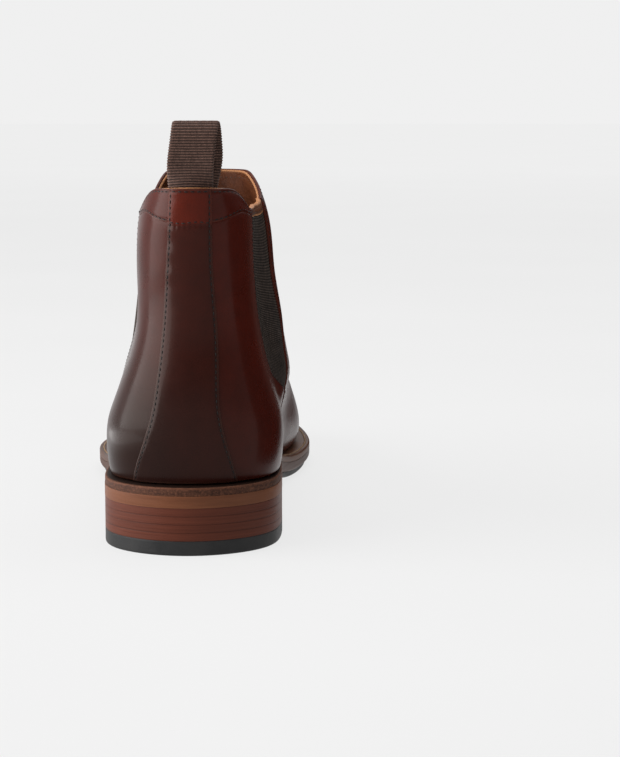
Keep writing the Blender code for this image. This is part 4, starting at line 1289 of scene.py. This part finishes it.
def dark_card():
    """A dark card out of sight at the right, so the inner side of the boot stays deep in colour."""
    mesh = bpy.data.meshes.new("dark_card")
    corners = [(0.112, -0.03, -0.01), (0.112, 0.80, -0.01), (0.112, 0.80, 0.165), (0.112, -0.03, 0.165)]
    mesh.from_pydata(corners, [], [(0, 1, 2, 3)])
    card = bpy.data.objects.new("dark_card", mesh)
    bpy.context.scene.collection.objects.link(card)
    card.visible_camera = card.visible_shadow = card.visible_diffuse = False
    n = Nodes("card_look")
    felt = n.noise(400.0, 3.0)
    colour = n.ramp(felt, (0.3, (0.020, 0.009, 0.007)), (0.7, (0.040, 0.016, 0.011)))
    mesh.materials.append(n.finish(colour, 0.9, None, Specular_IOR_Level=0.1))


def setting():
    mesh = bpy.data.meshes.new("floor")
    mesh.from_pydata([(-20, -20, 0), (20, -20, 0), (20, 20, 0), (-20, 20, 0)], [], [(0, 1, 2, 3)])
    floor = bpy.data.objects.new("floor", mesh)
    bpy.context.scene.collection.objects.link(floor)
    n = Nodes("floor_look")
    colour = n.ramp(n.noise(3.0, 2.0), (0.3, (0.085, 0.085, 0.085)), (0.7, (0.095, 0.095, 0.095)))
    far = n.add("ShaderNodeVectorMath", operation="LENGTH")
    n.link(n.place, far.inputs[0])
    glow = n.add("ShaderNodeMapRange")
    n.link(far.outputs["Value"], glow.inputs["Value"])
    for name, value in (("From Min", 0.6), ("From Max", 5.0), ("To Min", 0.75), ("To Max", 0.805)):
        glow.inputs[name].default_value = value
    n.link(glow.outputs[0], n.shader.inputs["Emission Strength"])
    look = n.finish(colour, 0.9, None, Specular_IOR_Level=0.0)
    n.shader.inputs["Emission Color"].default_value = (1, 1, 1, 1)
    mesh.materials.append(look)
    dark_card()

    world = bpy.data.worlds.new("studio")
    world.use_nodes = True
    tree = world.node_tree
    place = tree.nodes.new("ShaderNodeTexCoord")
    split = tree.nodes.new("ShaderNodeSeparateXYZ")
    shade = tree.nodes.new("ShaderNodeMapRange")
    shade.interpolation_type = "SMOOTHSTEP"
    for name, value in (("From Min", -0.35), ("From Max", 0.45), ("To Min", 0.27), ("To Max", 0.87)):
        shade.inputs[name].default_value = value
    tree.links.new(place.outputs["Generated"], split.inputs[0])
    level = tree.nodes.new("ShaderNodeMapRange")
    level.interpolation_type = "SMOOTHSTEP"
    for name, value in (("From Min", 0.08), ("From Max", 0.30), ("To Min", 0.87), ("To Max", 0.0)):
        level.inputs[name].default_value = value
    most = tree.nodes.new("ShaderNodeMath")
    most.operation = "MAXIMUM"
    tree.links.new(split.outputs["Y"], shade.inputs["Value"])
    tree.links.new(split.outputs["Z"], level.inputs["Value"])
    tree.links.new(shade.outputs[0], most.inputs[0])
    tree.links.new(level.outputs[0], most.inputs[1])
    tree.links.new(most.outputs[0], tree.nodes["Background"].inputs["Color"])
    bpy.context.scene.world = world
    soft_box("left_box", (-1.25, -0.35, 0.56), (0.0, 0.0, 0.10), (1.6, 1.25), 37.0)
    soft_box("floor_box", (-0.42, 0.05, 0.003), (-0.42, 0.05, 1.0), (0.45, 0.50), 2.6)
    soft_box("top_box", (0.1, 0.2, 1.5), (0.0, 0.05, 0.05), (1.2, 1.2), 12.0)

    camera = bpy.data.cameras.new("camera")
    camera.lens, camera.sensor_width = 96.68, 36.0
    camera.clip_start, camera.clip_end = 0.01, 50.0
    obj = bpy.data.objects.new("camera", camera)
    bpy.context.scene.collection.objects.link(obj)
    obj.location = (0.0508, -0.867, 0.1855)
    obj.rotation_euler = (math.radians(90 - 7.65), 0.0, 0.0)
    bpy.context.scene.camera = obj
    bpy.context.scene.view_settings.view_transform = "Standard"


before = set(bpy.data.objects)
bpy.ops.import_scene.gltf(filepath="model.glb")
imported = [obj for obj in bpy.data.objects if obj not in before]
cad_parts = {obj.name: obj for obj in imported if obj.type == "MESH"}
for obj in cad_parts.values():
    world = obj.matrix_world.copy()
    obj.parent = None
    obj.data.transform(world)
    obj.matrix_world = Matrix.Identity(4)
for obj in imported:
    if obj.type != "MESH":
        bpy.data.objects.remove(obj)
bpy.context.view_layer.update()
upper()
bottom()
pull_loop()
inner_pieces()
setting()
